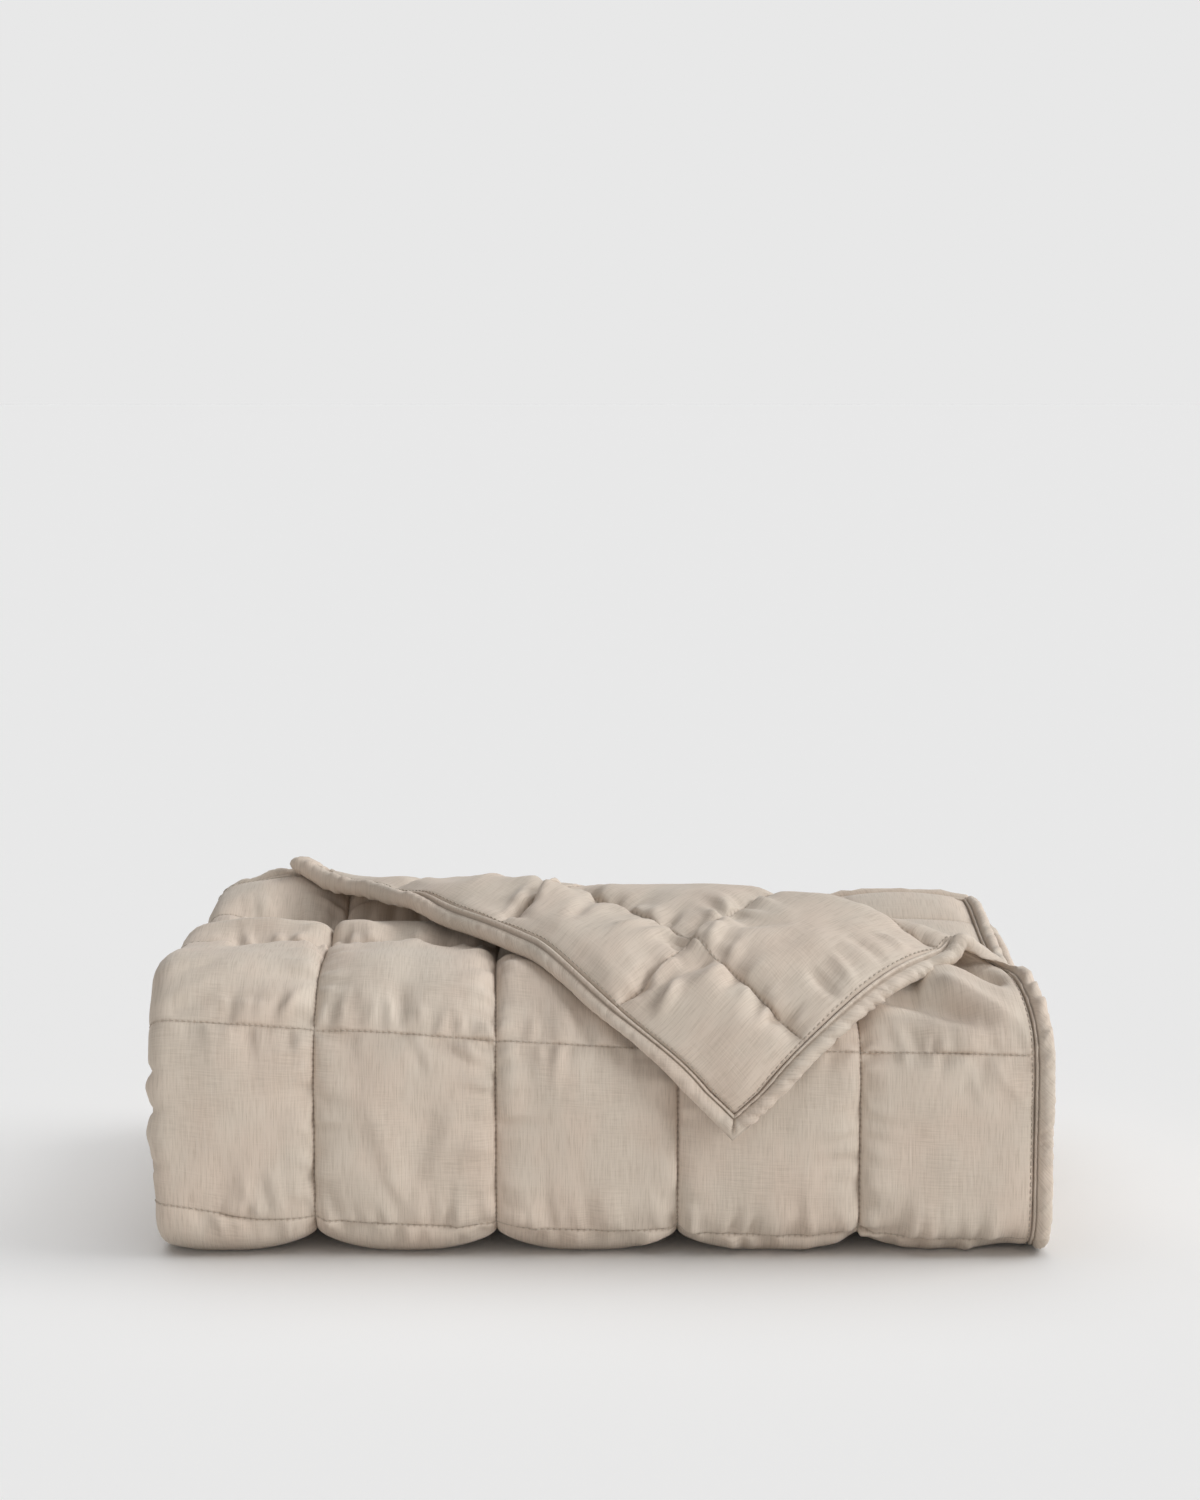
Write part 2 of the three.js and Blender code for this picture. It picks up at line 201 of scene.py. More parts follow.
# How the stack settles: around these places its upper part lies higher, or lower with a minus.
SWELLS = [
    {"x": -0.150, "depth": 0.172, "wide": 0.130, "deep": 0.024, "high": 0.005},
    {"x": -0.250, "depth": 0.300, "wide": 0.070, "deep": 0.050, "high": 0.005},
    {"x": 0.020, "depth": 0.200, "wide": 0.100, "deep": 0.070, "high": 0.003},
    {"x": 0.120, "depth": 0.180, "wide": 0.060, "deep": 0.060, "high": 0.012},
    {"x": 0.230, "depth": 0.310, "wide": 0.120, "deep": 0.080, "high": 0.022},
    {"x": 0.190, "depth": 0.135, "wide": 0.055, "deep": 0.040, "high": 0.010},
    {"x": 0.290, "depth": 0.100, "wide": 0.060, "deep": 0.060, "high": -0.008},
    {"x": -0.230, "depth": 0.340, "wide": 0.055, "deep": 0.050, "high": 0.018},
    {"x": -0.200, "depth": 0.080, "wide": 0.160, "deep": 0.120, "high": 0.004},
    {"x": -0.325, "depth": 0.200, "wide": 0.024, "deep": 0.090, "high": -0.016},
    {"x": 0.050, "depth": 0.025, "wide": 0.180, "deep": 0.060, "high": -0.013},
]
SWELL_HEIGHTS = (0.120, 0.185)
MIDDLE_X = 0.00022
MIDDLE_Y = 0.16871

# The hollow in the stack below the left end of the turned corner, which stands free of it.
HOLLOW = {"x": -0.198, "depth": 0.238, "wide": 0.078, "deep": 0.036, "high": -0.016}


def rise_at(form, x, y):
    away_x = (x - form["x"]) / form["wide"]
    away_y = (y - form["depth"]) / form["deep"]
    return form["high"] * np.exp(-(away_x**2) - away_y**2)


def settled(u, x, over, hollow_share):
    """Where a point lies that is at u along the strip, at x, and that far over the strip's middle."""
    y, z, out_y, out_z = side_on(u)
    y = y + out_y * over
    z = z + out_z * over
    swell = sum(rise_at(one, x, y) for one in SWELLS) + hollow_share * rise_at(HOLLOW, x, y)
    z = np.maximum(z + swell * rising(*SWELL_HEIGHTS, z), 0)
    return np.stack([x - MIDDLE_X, y - MIDDLE_Y, z], axis=-1)


TUCK_FROM = 0.37
LEFT_TUCK = 0.0065
SWAY = 0.005
SWAY_WAVE = 0.097
INNER_PULL = 0.009
INNER_PULL_FADES = (0.15, 0.35)


def in_stack(u, w, lift, pull):
    """Where the cloth's point u, w lies if it isn't turned over. pull draws the outer leaf to the left."""
    flat_x, flat_over, flat_turned = across(w)
    left_share = falling(-OUTER_LEAF / 2, -TUCK_FROM * OUTER_LEAF, flat_x)
    tuck = LEFT_TUCK * falling(0, 2 * CELL, u) * left_share
    sway = SWAY * np.sin(u / SWAY_WAVE) * rising(HEEL_END, BOTTOM_END, u)
    inner_pull = INNER_PULL * rising(CLOTH_WIDTH - CELL, CLOTH_WIDTH, w) * falling(*INNER_PULL_FADES, u)
    drawn = np.where(w < FOLD_START, pull, inner_pull)
    stack_x = flat_x - lift * np.sin(flat_turned) + tuck + sway - drawn
    return settled(slid(u, flat_x), stack_x, flat_over + lift * np.cos(flat_turned), 1)


# The turned corner: it goes over the crease in a soft roll, slimmer at its ends, and settles on the stack.
ROLL_RADIUS = 0.0135
SIDE_ROLL_RADIUS = 0.0110
SIDE_ROLL_WIDENS = (0, 0.090)
END_ROLL_RADIUS = 0.0070
END_ROLL_NARROWS = (0.33, 0.48)
SETTLE = 0.070
FLAP_GAP = 0.003
TIP_HOVER = 0.008
CORNER_PULL = 0.038
END_PULL = 0.050

# Around these places of the turned corner it lies further towards the front, the left or outwards.
FLAP_FORMS = [
    {"u": 0.000, "w": 0.200, "wide_u": 0.045, "wide_w": 0.140, "front": 0.034},
    {"u": 0.000, "w": 0.310, "wide_u": 0.040, "wide_w": 0.070, "front": 0.014},
    {"u": 0.000, "w": 0.385, "wide_u": 0.060, "wide_w": 0.045, "front": -0.002, "out": 0.007},
    {"u": 0.070, "w": 0.117, "wide_u": 0.050, "wide_w": 0.060, "front": 0.018, "left": -0.006, "out": 0.008},
    {"u": 0.060, "w": 0.290, "wide_u": 0.050, "wide_w": 0.110, "out": 0.007},
    {"u": 0.170, "w": 0.000, "wide_u": 0.060, "wide_w": 0.040, "left": -0.006, "out": -0.009},
]


def roll_radius(u, w):
    along_crease = w * CREASE_U - (u - CREASE_SIDE) * CREASE_W
    radius = mixed(SIDE_ROLL_RADIUS, ROLL_RADIUS, rising(*SIDE_ROLL_WIDENS, along_crease))
    return mixed(END_ROLL_RADIUS, radius, falling(*END_ROLL_NARROWS, along_crease))


def on_flap(u, w, lift, radius, bend, pull):
    """Where the cloth's point u, w lies in the turned corner, bend past the start of its roll."""
    roll_length = math.pi * radius
    turned = np.clip(bend / radius, 0, math.pi)
    past = bend - roll_length
    rolled = np.where(past > 0, -roll_length / 2 - past, radius * np.sin(turned) - roll_length / 2)
    moved = bend - roll_length / 2 - rolled + lift * np.sin(turned)
    new_u = u + moved * CREASE_U
    new_w = w + moved * CREASE_W
    lying = LEAF_PITCH + FLAP_GAP + TIP_HOVER * rising(FIRST_ROW + 2 * CELL, FIRST_ROW + 3 * CELL, new_u)
    settling = lying + (2 * radius - lying) * np.exp(-((past / SETTLE) ** 2))
    high = np.where(past > 0, settling, radius * (1 - np.cos(turned)))
    far_pull = mixed(CORNER_PULL, END_PULL, w / CREASE_END)
    drawn = mixed(pull, far_pull, rising(0, roll_length, bend))
    flap_share = rising(-roll_length / 2, roll_length / 2, past)
    for one in FLAP_FORMS:
        away_u = (u - one["u"]) / one["wide_u"]
        away_w = (w - one["w"]) / one["wide_w"]
        share = np.exp(-(away_u**2) - away_w**2) * flap_share
        new_u = new_u + one.get("front", 0) * share
        drawn = drawn + one.get("left", 0) * share
        high = high + one.get("out", 0) * share
    over = HALF_LEAF + high + lift * np.cos(turned)
    return settled(new_u, RIGHT_SEAM_X - new_w - drawn, over, falling(0, math.pi, turned))


HANG_START = 0.004
END_HANG = 0.95
END_HANG_RISES = (0.03, 0.16)
END_HANG_FADES = (0.27, 0.37)
SIDE_HANG = 0.75
SIDE_HANG_RISES = (0.04, 0.12)
SIDE_HANG_FADES = (0.17, 0.20)
SIDE_PULL = 0.010
SIDE_PULL_LONG = 0.085
SIDE_PULL_WIDE = 4 * CELL


def hung(place, lift, angle):
    """Turns what lies past the cloth's edge down by an angle, about that edge."""
    past = np.maximum(-place, 0)
    angle = angle * rising(0, HANG_START, past)
    place = np.where(past > 0, lift * np.sin(angle) - past * np.cos(angle), place)
    return place, lift * np.cos(angle) + past * np.sin(angle)


def folded(u, w, lift):
    """Where a point lies in the stack that is lift over the cloth's middle at u, w, towards its face."""
    u, w, lift = (np.array(one, dtype=float) for one in np.broadcast_arrays(u, w, lift))
    end_hang = END_HANG * rising(*END_HANG_RISES, w) * falling(*END_HANG_FADES, w)
    side_hang = SIDE_HANG * rising(*SIDE_HANG_RISES, u) * falling(*SIDE_HANG_FADES, u)
    u, lift = hung(u, lift, end_hang)
    w, lift = hung(w, lift, side_hang)
    pull_along = falling(CREASE_SIDE, CREASE_SIDE + SIDE_PULL_LONG, u)
    pull = SIDE_PULL * pull_along * np.clip(1 - w / SIDE_PULL_WIDE, 0, 1)
    radius = roll_radius(u, w)
    bend = past_crease(u, w) + math.pi * radius / 2
    stays = (w > FOLD_START) | (bend <= 0)
    return np.where(stays[..., None], in_stack(u, w, lift, pull), on_flap(u, w, lift, radius, bend, pull))


# Unevenness: smooth chance values between evenly spaced points, along a line or over the cloth.
LINE_VALUES = 4096
LINE_START = 512
CLOTH_VALUES = 512
CLOTH_START = 64


def uneven(distance, pitch, seed):
    values = np.random.default_rng(seed).uniform(-1, 1, LINE_VALUES)
    place = distance / pitch + LINE_START
    low = np.floor(place).astype(int)
    return mixed(values[low % LINE_VALUES], values[(low + 1) % LINE_VALUES], eased(place - low))


def mottled(u, w, pitch, seed):
    values = np.random.default_rng(seed).uniform(-1, 1, (CLOTH_VALUES, CLOTH_VALUES))
    at_u, at_w = u / pitch + CLOTH_START, w / pitch + CLOTH_START
    low_u, low_w = np.floor(at_u).astype(int), np.floor(at_w).astype(int)
    share_u, share_w = eased(at_u - low_u), eased(at_w - low_w)
    this_u, next_u = low_u % CLOTH_VALUES, (low_u + 1) % CLOTH_VALUES
    this_w, next_w = low_w % CLOTH_VALUES, (low_w + 1) % CLOTH_VALUES
    first = mixed(values[this_u, this_w], values[next_u, this_w], share_u)
    second = mixed(values[this_u, next_w], values[next_u, next_w], share_u)
    return mixed(first, second, share_w)


def plump(distance, first, total, round_over, dome):
    """How full the squares are: not at all on a stitched line, quickly more beside it, most midway."""
    near_edge = np.minimum(distance, total - distance)
    in_cell = np.mod(distance - first, CELL)
    wide = np.where(near_edge < first, first, CELL)
    place = np.where(near_edge < first, near_edge, in_cell)
    away = np.clip(np.minimum(place, wide - place), 0, None)
    shoulder = np.sqrt(1 - (1 - np.clip(away / round_over, 0, 1)) ** 2)
    return shoulder * (1 - dome + dome * np.sin(math.pi * np.clip(place / wide, 0, 1)))


# The squares: their thickness, how round they are, and how deep each kind of stitched line lies.
FULL_THICK = 0.0153
STITCH_THICK = 0.003
STITCH_DIP = 0.0055
ROW_ROUND = 0.022
ROW_DOME = 0.30
COLUMN_ROUND = 0.017
COLUMN_DOME = 0.22
TOP_RISE = 0.0030
FRONT_RISE = 0.0060
FRONT_FROM = FIRST_ROW + 1.3 * CELL
FRONT_FULL = FIRST_ROW + 1.8 * CELL
HEEL_RISES = (0.400, 0.465)
HEEL_ROUND = 0.052
HEEL_DIP = 0.0055
SIDE_RISES = (0.545, 0.590)
SIDE_FADE = CELL / 3
SIDE_FULL = 0.75
SIDE_CALM = 0.8
PRESSED_FADE = CELL / 2
EDGE_FADE = CELL / 4
FLAP_DIP = 0.0032
FLAP_EDGE = 0.015

# The small folds: puckers beside the stitches, gentle waves, and crumples between them.
FACE_SEED = 11
BACK_SEED = 12011
ROW_SEEDS = 2000
LINE_SEEDS = 20
GENTLE_SEED = 5
CRUMPLE_SEED = 6
PUCKERED_COLUMNS = COLUMNS[:4]
PUCKERED_ROWS = ROWS[:5]
PUCKER_HIGH = 0.0028
PUCKER_REACH = 0.0055
PUCKER_PITCH = 0.0068
FAR_HIGH = 0.0022
FAR_REACH = 0.011
FAR_PITCH = 0.019
REACH_VARIES = 0.6
REACH_PITCH = 0.03
SLANT = 0.35
SLANT_PITCH = 0.05
GENTLE_HIGH = 0.0022
GENTLE_PITCH = 0.050
CRUMPLE_HIGH = 0.0010
CRUMPLE_PITCH = 0.019
ROLL_SHARE = 0.5
FLAP_SHARE = 1.8
FLAP_RISES = (0.015, 0.060)
SHOWN_FADES = (0.431, 0.455)
EDGE_CALM = 0.012
CREASE_FADE = 0.6

# Creases of the face: ridges from one place u, w to another, or troughs with a minus.
FACE_CREASES = [
    {"from": (0.358, 0.407), "to": (0.406, 0.420), "wide": 0.0110, "high": -0.0034},
    {"from": (0.352, 0.450), "to": (0.409, 0.425), "wide": 0.0070, "high": 0.0022},
    {"from": (0.352, 0.386), "to": (0.404, 0.410), "wide": 0.0070, "high": 0.0018},
    {"from": (0.309, 0.422), "to": (0.334, 0.411), "wide": 0.0040, "high": -0.0024},
    {"from": (0.310, 0.406), "to": (0.335, 0.364), "wide": 0.0035, "high": -0.0020},
    {"from": (0.310, 0.396), "to": (0.326, 0.366), "wide": 0.0035, "high": 0.0016},
    {"from": (0.289, 0.548), "to": (0.291, 0.516), "wide": 0.0018, "high": -0.0014},
    {"from": (0.294, 0.546), "to": (0.296, 0.520), "wide": 0.0030, "high": 0.0010},
    {"from": (0.286, 0.497), "to": (0.306, 0.509), "wide": 0.0035, "high": 0.0026},
    {"from": (0.287, 0.507), "to": (0.305, 0.516), "wide": 0.0035, "high": -0.0016},
    {"from": (0.292, 0.584), "to": (0.279, 0.556), "wide": 0.0045, "high": 0.0018},
    {"from": (0.302, 0.585), "to": (0.293, 0.558), "wide": 0.0040, "high": -0.0016},
    {"from": (0.274, 0.585), "to": (0.260, 0.555), "wide": 0.0045, "high": -0.0016},
    {"from": (0.178, 0.508), "to": (0.205, 0.497), "wide": 0.0050, "high": 0.0024},
    {"from": (0.186, 0.468), "to": (0.205, 0.454), "wide": 0.0050, "high": 0.0020},
    {"from": (0.186, 0.420), "to": (0.210, 0.424), "wide": 0.0060, "high": 0.0018},
    {"from": (0.289, 0.548), "to": (0.306, 0.549), "wide": 0.0028, "high": 0.0016},
    {"from": (0.294, 0.531), "to": (0.306, 0.532), "wide": 0.0028, "high": 0.0014},
    {"from": (0.288, 0.468), "to": (0.306, 0.466), "wide": 0.0030, "high": 0.0018},
    {"from": (0.280, 0.460), "to": (0.306, 0.456), "wide": 0.0035, "high": -0.0014},
    {"from": (0.284, 0.436), "to": (0.306, 0.433), "wide": 0.0032, "high": 0.0024},
    {"from": (0.276, 0.428), "to": (0.306, 0.426), "wide": 0.0050, "high": -0.0026},
    {"from": (0.290, 0.414), "to": (0.306, 0.410), "wide": 0.0032, "high": 0.0016},
    {"from": (0.286, 0.390), "to": (0.306, 0.386), "wide": 0.0032, "high": 0.0018},
    {"from": (0.292, 0.368), "to": (0.306, 0.366), "wide": 0.0030, "high": 0.0018},
    {"from": (0.290, 0.336), "to": (0.306, 0.339), "wide": 0.0030, "high": 0.0014},
    {"from": (0.278, 0.316), "to": (0.306, 0.314), "wide": 0.0030, "high": 0.0022},
    {"from": (0.282, 0.308), "to": (0.306, 0.307), "wide": 0.0030, "high": -0.0018},
    {"from": (0.310, 0.336), "to": (0.324, 0.330), "wide": 0.0035, "high": 0.0012},
    {"from": (0.404, 0.534), "to": (0.424, 0.527), "wide": 0.0040, "high": 0.0018},
    {"from": (0.398, 0.514), "to": (0.424, 0.507), "wide": 0.0045, "high": 0.0024},
    {"from": (0.402, 0.522), "to": (0.424, 0.516), "wide": 0.0040, "high": -0.0018},
    {"from": (0.418, 0.487), "to": (0.440, 0.470), "wide": 0.0040, "high": 0.0026},
    {"from": (0.410, 0.478), "to": (0.428, 0.468), "wide": 0.0040, "high": -0.0016},
    {"from": (0.396, 0.437), "to": (0.414, 0.424), "wide": 0.0040, "high": 0.0018},
    {"from": (0.414, 0.390), "to": (0.436, 0.388), "wide": 0.0035, "high": 0.0020},
    {"from": (0.404, 0.372), "to": (0.432, 0.364), "wide": 0.0040, "high": 0.0020},
    {"from": (0.412, 0.340), "to": (0.436, 0.336), "wide": 0.0035, "high": 0.0016},
    {"from": (0.404, 0.292), "to": (0.430, 0.286), "wide": 0.0045, "high": 0.0018},
    {"from": (0.410, 0.254), "to": (0.434, 0.244), "wide": 0.0040, "high": 0.0022},
    {"from": (0.408, 0.232), "to": (0.438, 0.226), "wide": 0.0040, "high": 0.0020},
    {"from": (0.412, 0.166), "to": (0.434, 0.172), "wide": 0.0040, "high": 0.0014},
    {"from": (0.410, 0.130), "to": (0.432, 0.122), "wide": 0.0040, "high": 0.0020},
    {"from": (0.412, 0.110), "to": (0.438, 0.104), "wide": 0.0040, "high": 0.0018},
    {"from": (0.262, 0.098), "to": (0.284, 0.036), "wide": 0.0080, "high": -0.0120},
    {"from": (0.150, 0.592), "to": (0.160, 0.450), "wide": 0.0090, "high": 0.0040},
    {"from": (0.095, 0.595), "to": (0.105, 0.440), "wide": 0.0220, "high": -0.0050},
    {"from": (0.246, 0.096), "to": (0.256, 0.066), "wide": 0.0120, "high": -0.0110},
    {"from": (0.258, 0.056), "to": (0.286, 0.012), "wide": 0.0070, "high": 0.0070},
    {"from": (0.222, 0.042), "to": (0.254, 0.006), "wide": 0.0090, "high": -0.0110},
    {"from": (0.284, 0.096), "to": (0.295, 0.020), "wide": 0.0060, "high": 0.0030},
    {"from": (0.339, 0.590), "to": (0.342, 0.612), "wide": 0.0035, "high": -0.0030},
    {"from": (0.352, 0.590), "to": (0.352, 0.612), "wide": 0.0060, "high": 0.0025},
    {"from": (0.366, 0.588), "to": (0.370, 0.612), "wide": 0.0035, "high": -0.0032},
    {"from": (0.384, 0.590), "to": (0.384, 0.612), "wide": 0.0080, "high": 0.0025},
    {"from": (0.404, 0.588), "to": (0.410, 0.612), "wide": 0.0040, "high": -0.0030},
    {"from": (0.288, 0.094), "to": (0.306, 0.086), "wide": 0.0035, "high": 0.0022},
    {"from": (0.290, 0.084), "to": (0.310, 0.076), "wide": 0.0035, "high": -0.0020},
    {"from": (0.292, 0.070), "to": (0.308, 0.072), "wide": 0.0030, "high": 0.0020},
    {"from": (0.298, 0.044), "to": (0.308, 0.040), "wide": 0.0030, "high": 0.0018},
    {"from": (0.313, 0.030), "to": (0.339, 0.006), "wide": 0.0040, "high": 0.0020},
    {"from": (0.311, 0.046), "to": (0.338, 0.036), "wide": 0.0035, "high": 0.0016},
]

# Creases of the back, which show on the turned corner.
BACK_CREASES = [
    {"from": (0.034, 0.099), "to": (0.014, 0.090), "wide": 0.0040, "high": 0.0030},
    {"from": (0.034, 0.107), "to": (0.016, 0.099), "wide": 0.0045, "high": -0.0018},
    {"from": (0.052, 0.150), "to": (0.034, 0.158), "wide": 0.0045, "high": 0.0020},
    {"from": (0.065, 0.112), "to": (0.071, 0.082), "wide": 0.0045, "high": 0.0018},
    {"from": (0.050, 0.200), "to": (0.026, 0.190), "wide": 0.0060, "high": -0.0022},
    {"from": (0.039, 0.253), "to": (0.012, 0.243), "wide": 0.0050, "high": 0.0024},
    {"from": (0.043, 0.237), "to": (0.026, 0.229), "wide": 0.0045, "high": 0.0022},
    {"from": (0.095, 0.030), "to": (0.096, 0.004), "wide": 0.0035, "high": -0.0022},
    {"from": (0.112, 0.026), "to": (0.110, 0.004), "wide": 0.0035, "high": 0.0020},
    {"from": (0.134, 0.030), "to": (0.136, 0.004), "wide": 0.0040, "high": -0.0018},
    {"from": (0.156, 0.024), "to": (0.158, 0.004), "wide": 0.0040, "high": 0.0020},
    {"from": (0.090, 0.100), "to": (0.118, 0.070), "wide": 0.0080, "high": -0.0022},
    {"from": (0.0615, 0.002), "to": (0.0615, 0.030), "wide": 0.0050, "high": -0.0020},
    {"from": (0.1845, 0.002), "to": (0.1845, 0.030), "wide": 0.0050, "high": -0.0020},
    {"from": (0.002, 0.117), "to": (0.026, 0.117), "wide": 0.0045, "high": -0.0016},
    {"from": (0.002, 0.240), "to": (0.026, 0.240), "wide": 0.0045, "high": -0.0016},
]


def creased(u, w, creases):
    total = np.zeros_like(u)
    for one in creases:
        (from_u, from_w), (to_u, to_w) = one["from"], one["to"]
        run_u, run_w = to_u - from_u, to_w - from_w
        share = ((u - from_u) * run_u + (w - from_w) * run_w) / (run_u**2 + run_w**2)
        held = np.clip(share, 0, 1)
        away = np.hypot(u - from_u - held * run_u, w - from_w - held * run_w)
        soft_end = 1 - CREASE_FADE * (2 * held - 1) ** 4
        total += one["high"] * soft_end * np.exp(-((away / one["wide"]) ** 2))
    return total


def ridges(along, pitch, above, seed):
    """Uneven ridges that differ on the two sides of a stitched line."""
    return np.where(above, uneven(along, pitch, seed), uneven(along, pitch, seed + 1))


def puckers(along, over, lines, seed):
    """Small ridges that the stitches draw up, across each stitched line."""
    total = np.zeros_like(along)
    for k, line in enumerate(lines):
        away = over - line
        seed_here = seed + LINE_SEEDS * k
        slanted = along + SLANT * np.abs(away) * uneven(along, SLANT_PITCH, seed_here + 1)
        near_reach = PUCKER_REACH * (1 + REACH_VARIES * uneven(along, REACH_PITCH, seed_here + 2))
        close = np.abs(away) / near_reach
        far = np.abs(away) / FAR_REACH
        narrow = ridges(slanted, PUCKER_PITCH, away > 0, seed_here + 3)
        wide = ridges(slanted, FAR_PITCH, away > 0, seed_here + 5)
        total += PUCKER_HIGH * close * np.exp(1 - close) * narrow
        total += FAR_HIGH * far * np.exp(1 - far) * wide
    return total


def small_folds(u, w, side, full, at_side):
    """The puckers, waves, crumples and creases of one side, where the cloth is in sight."""
    seed = FACE_SEED if side > 0 else BACK_SEED
    soft = puckers(u, w, PUCKERED_COLUMNS, seed) + puckers(w, u, PUCKERED_ROWS, seed + ROW_SEEDS)
    soft = soft * (1 - SIDE_CALM * at_side)
    soft = soft + GENTLE_HIGH * mottled(u, w, GENTLE_PITCH, seed + GENTLE_SEED) * full
    soft = soft + CRUMPLE_HIGH * mottled(u, w, CRUMPLE_PITCH, seed + CRUMPLE_SEED) * full
    relief = soft + creased(u, w, FACE_CREASES if side > 0 else BACK_CREASES)
    if side < 0:
        relief = relief * mixed(ROLL_SHARE, FLAP_SHARE, rising(*FLAP_RISES, past_crease(u, w)))
    shown = falling(*SHOWN_FADES, u) * falling(FOLD_END, FOLD_END + CELL, w)
    from_edge = np.minimum(np.minimum(u, CLOTH_LENGTH - u), np.minimum(w, CLOTH_WIDTH - w))
    return relief * shown * np.clip(from_edge / EDGE_CALM, 0, 1)


def surface(u, w, side):
    """Height of the face (side 1) or the back (side -1) over the middle of the cloth."""
    at_heel = rising(*HEEL_RISES, u) * falling(HEEL_END, HEEL_END + CELL, u)
    at_side = rising(*SIDE_RISES, w) * falling(FOLD_END, FOLD_END + SIDE_FADE, w)
    column_round = mixed(COLUMN_ROUND, HEEL_ROUND, at_heel)
    full_across = plump(w, FIRST_COLUMN, CLOTH_WIDTH, column_round, COLUMN_DOME)
    full_along = plump(u, FIRST_ROW, CLOTH_LENGTH, ROW_ROUND, ROW_DOME)
    full_along = mixed(full_along, 1, SIDE_FULL * at_side)
    full = full_across * full_along
    half = (STITCH_THICK + (FULL_THICK - STITCH_THICK) * full) / 2

    from_edge = rising(0, EDGE_FADE, w) * rising(0, EDGE_FADE, u)
    flap = rising(-math.pi * ROLL_RADIUS, 0, past_crease(u, w))
    pressed = rising(HEEL_END, HEEL_END + PRESSED_FADE, u)
    outer = from_edge * (1 - flap) * (1 - pressed) * falling(FOLD_START, FOLD_END, w)
    in_flap = flap * rising(0, FLAP_EDGE, w) * rising(0, FLAP_EDGE, u)
    row_rise = mixed(TOP_RISE, FRONT_RISE, rising(FRONT_FROM, FRONT_FULL, u))
    dip = (STITCH_DIP * (1 - full) - row_rise * (1 - full_along) * full_across) * outer
    dip = dip + HEEL_DIP * at_heel * (1 - full_across) * outer - FLAP_DIP * (1 - full) * in_flap
    return side * (half + small_folds(u, w, side, full, at_side)) - dip


# The mesh: a flat closed grid of face and back, finer where it shows, which is then folded.
SHOWN_STEP = 0.0108
TURN_STEP = 0.0065
HIDDEN_STEP = 0.024
DITCH_STEP = 0.0026
LEAST_STEP = 1e-6
STEP_SLACK = 0.01
FINE_EDGE = 0.012
FINE_LENGTH = HEEL_END + FINE_EDGE
FINE_WIDTH = FOLD_END + FINE_EDGE
FACE_SIGHT = CELL / 8
BACK_SIGHT = -CELL / 3
BACK_NEAR = 2.6 * CELL


def stepped(marks, step_at):
    """Fills in the stretches between the marks with even steps of about the wanted size."""
    marks = sorted(marks)
    steps = [marks[0]]
    for start, end in zip(marks, marks[1:]):
        if end - start > LEAST_STEP:
            count = max(1, math.ceil((end - start) / step_at((start + end) / 2) - STEP_SLACK))
            steps += [start + (end - start) * k / count for k in range(1, count + 1)]
    return steps


def step_along(u):
    if u < FINE_LENGTH:
        return SHOWN_STEP
    piece = [one for one in PATH if one["start"] <= u][-1]
    return TURN_STEP if piece["turn"] else HIDDEN_STEP


def step_across(w):
    return SHOWN_STEP if w < FINE_WIDTH else HIDDEN_STEP


def ditches(lines, last):
    return [line + side * DITCH_STEP for line in lines for side in (-1, 0, 1) if line < last]


along_marks = [0, FINE_LENGTH, CLOTH_LENGTH] + ditches(ROWS, HEEL_END)
along_marks += [line for line in ROWS if line > HEEL_END]
along_marks += [one["start"] for one in PATH if FINE_LENGTH < one["start"] < CLOTH_LENGTH]
across_marks = [0, FINE_WIDTH, CLOTH_WIDTH] + ditches(COLUMNS, FOLD_START)
across_marks += [line for line in COLUMNS if line > FINE_WIDTH]
u_steps = stepped(along_marks, step_along)
w_steps = stepped(across_marks, step_across)

cloth = bmesh.new()
grid = {
    (i, j, side): cloth.verts.new((w, u, side))
    for side in (1, -1)
    for i, u in enumerate(u_steps)
    for j, w in enumerate(w_steps)
}
last_row, last_column = len(u_steps) - 1, len(w_steps) - 1
for i in range(last_row):
    for j in range(last_column):
        cell = [(i, j), (i, j + 1), (i + 1, j + 1), (i + 1, j)]
        cloth.faces.new([grid[(*place, 1)] for place in cell])
        cloth.faces.new([grid[(*place, -1)] for place in reversed(cell)])
rim = [(i, 0) for i in range(last_row + 1)]
rim += [(last_row, j) for j in range(1, last_column + 1)]
rim += [(i, last_column) for i in range(last_row - 1, -1, -1)]
rim += [(0, j) for j in range(last_column - 1, 0, -1)]
for here, following in zip(rim, rim[1:] + rim[:1]):
    cloth.faces.new([grid[(*here, 1)], grid[(*following, 1)], grid[(*following, -1)], grid[(*here, -1)]])


def near_sight(w, u, side):
    return (u < FINE_LENGTH and w < FINE_WIDTH) or (side < 0 and u < BACK_NEAR)


def in_sight(w, u, side):
    if u > FINE_LENGTH or w > FINE_WIDTH:
        return False
    over_flap = past_crease(u, w)
    return over_flap < FACE_SIGHT if side > 0 else over_flap > BACK_SIGHT


def divide(cloth, wanted):
    """Halves the wanted cells both ways. The short edges between face and back stay whole."""
    edges = {
        edge for cell in cloth.faces if wanted(*cell.calc_center_median())
        for edge in cell.edges if edge.verts[0].co.z == edge.verts[1].co.z
    }
    bmesh.ops.subdivide_edges(cloth, edges=list(edges), cuts=1, use_grid_fill=True)


def new_piece(name, mesh):
    mesh.shade_smooth()
    piece = bpy.data.objects.new(name, mesh)
    bpy.context.scene.collection.objects.link(piece)
    return piece


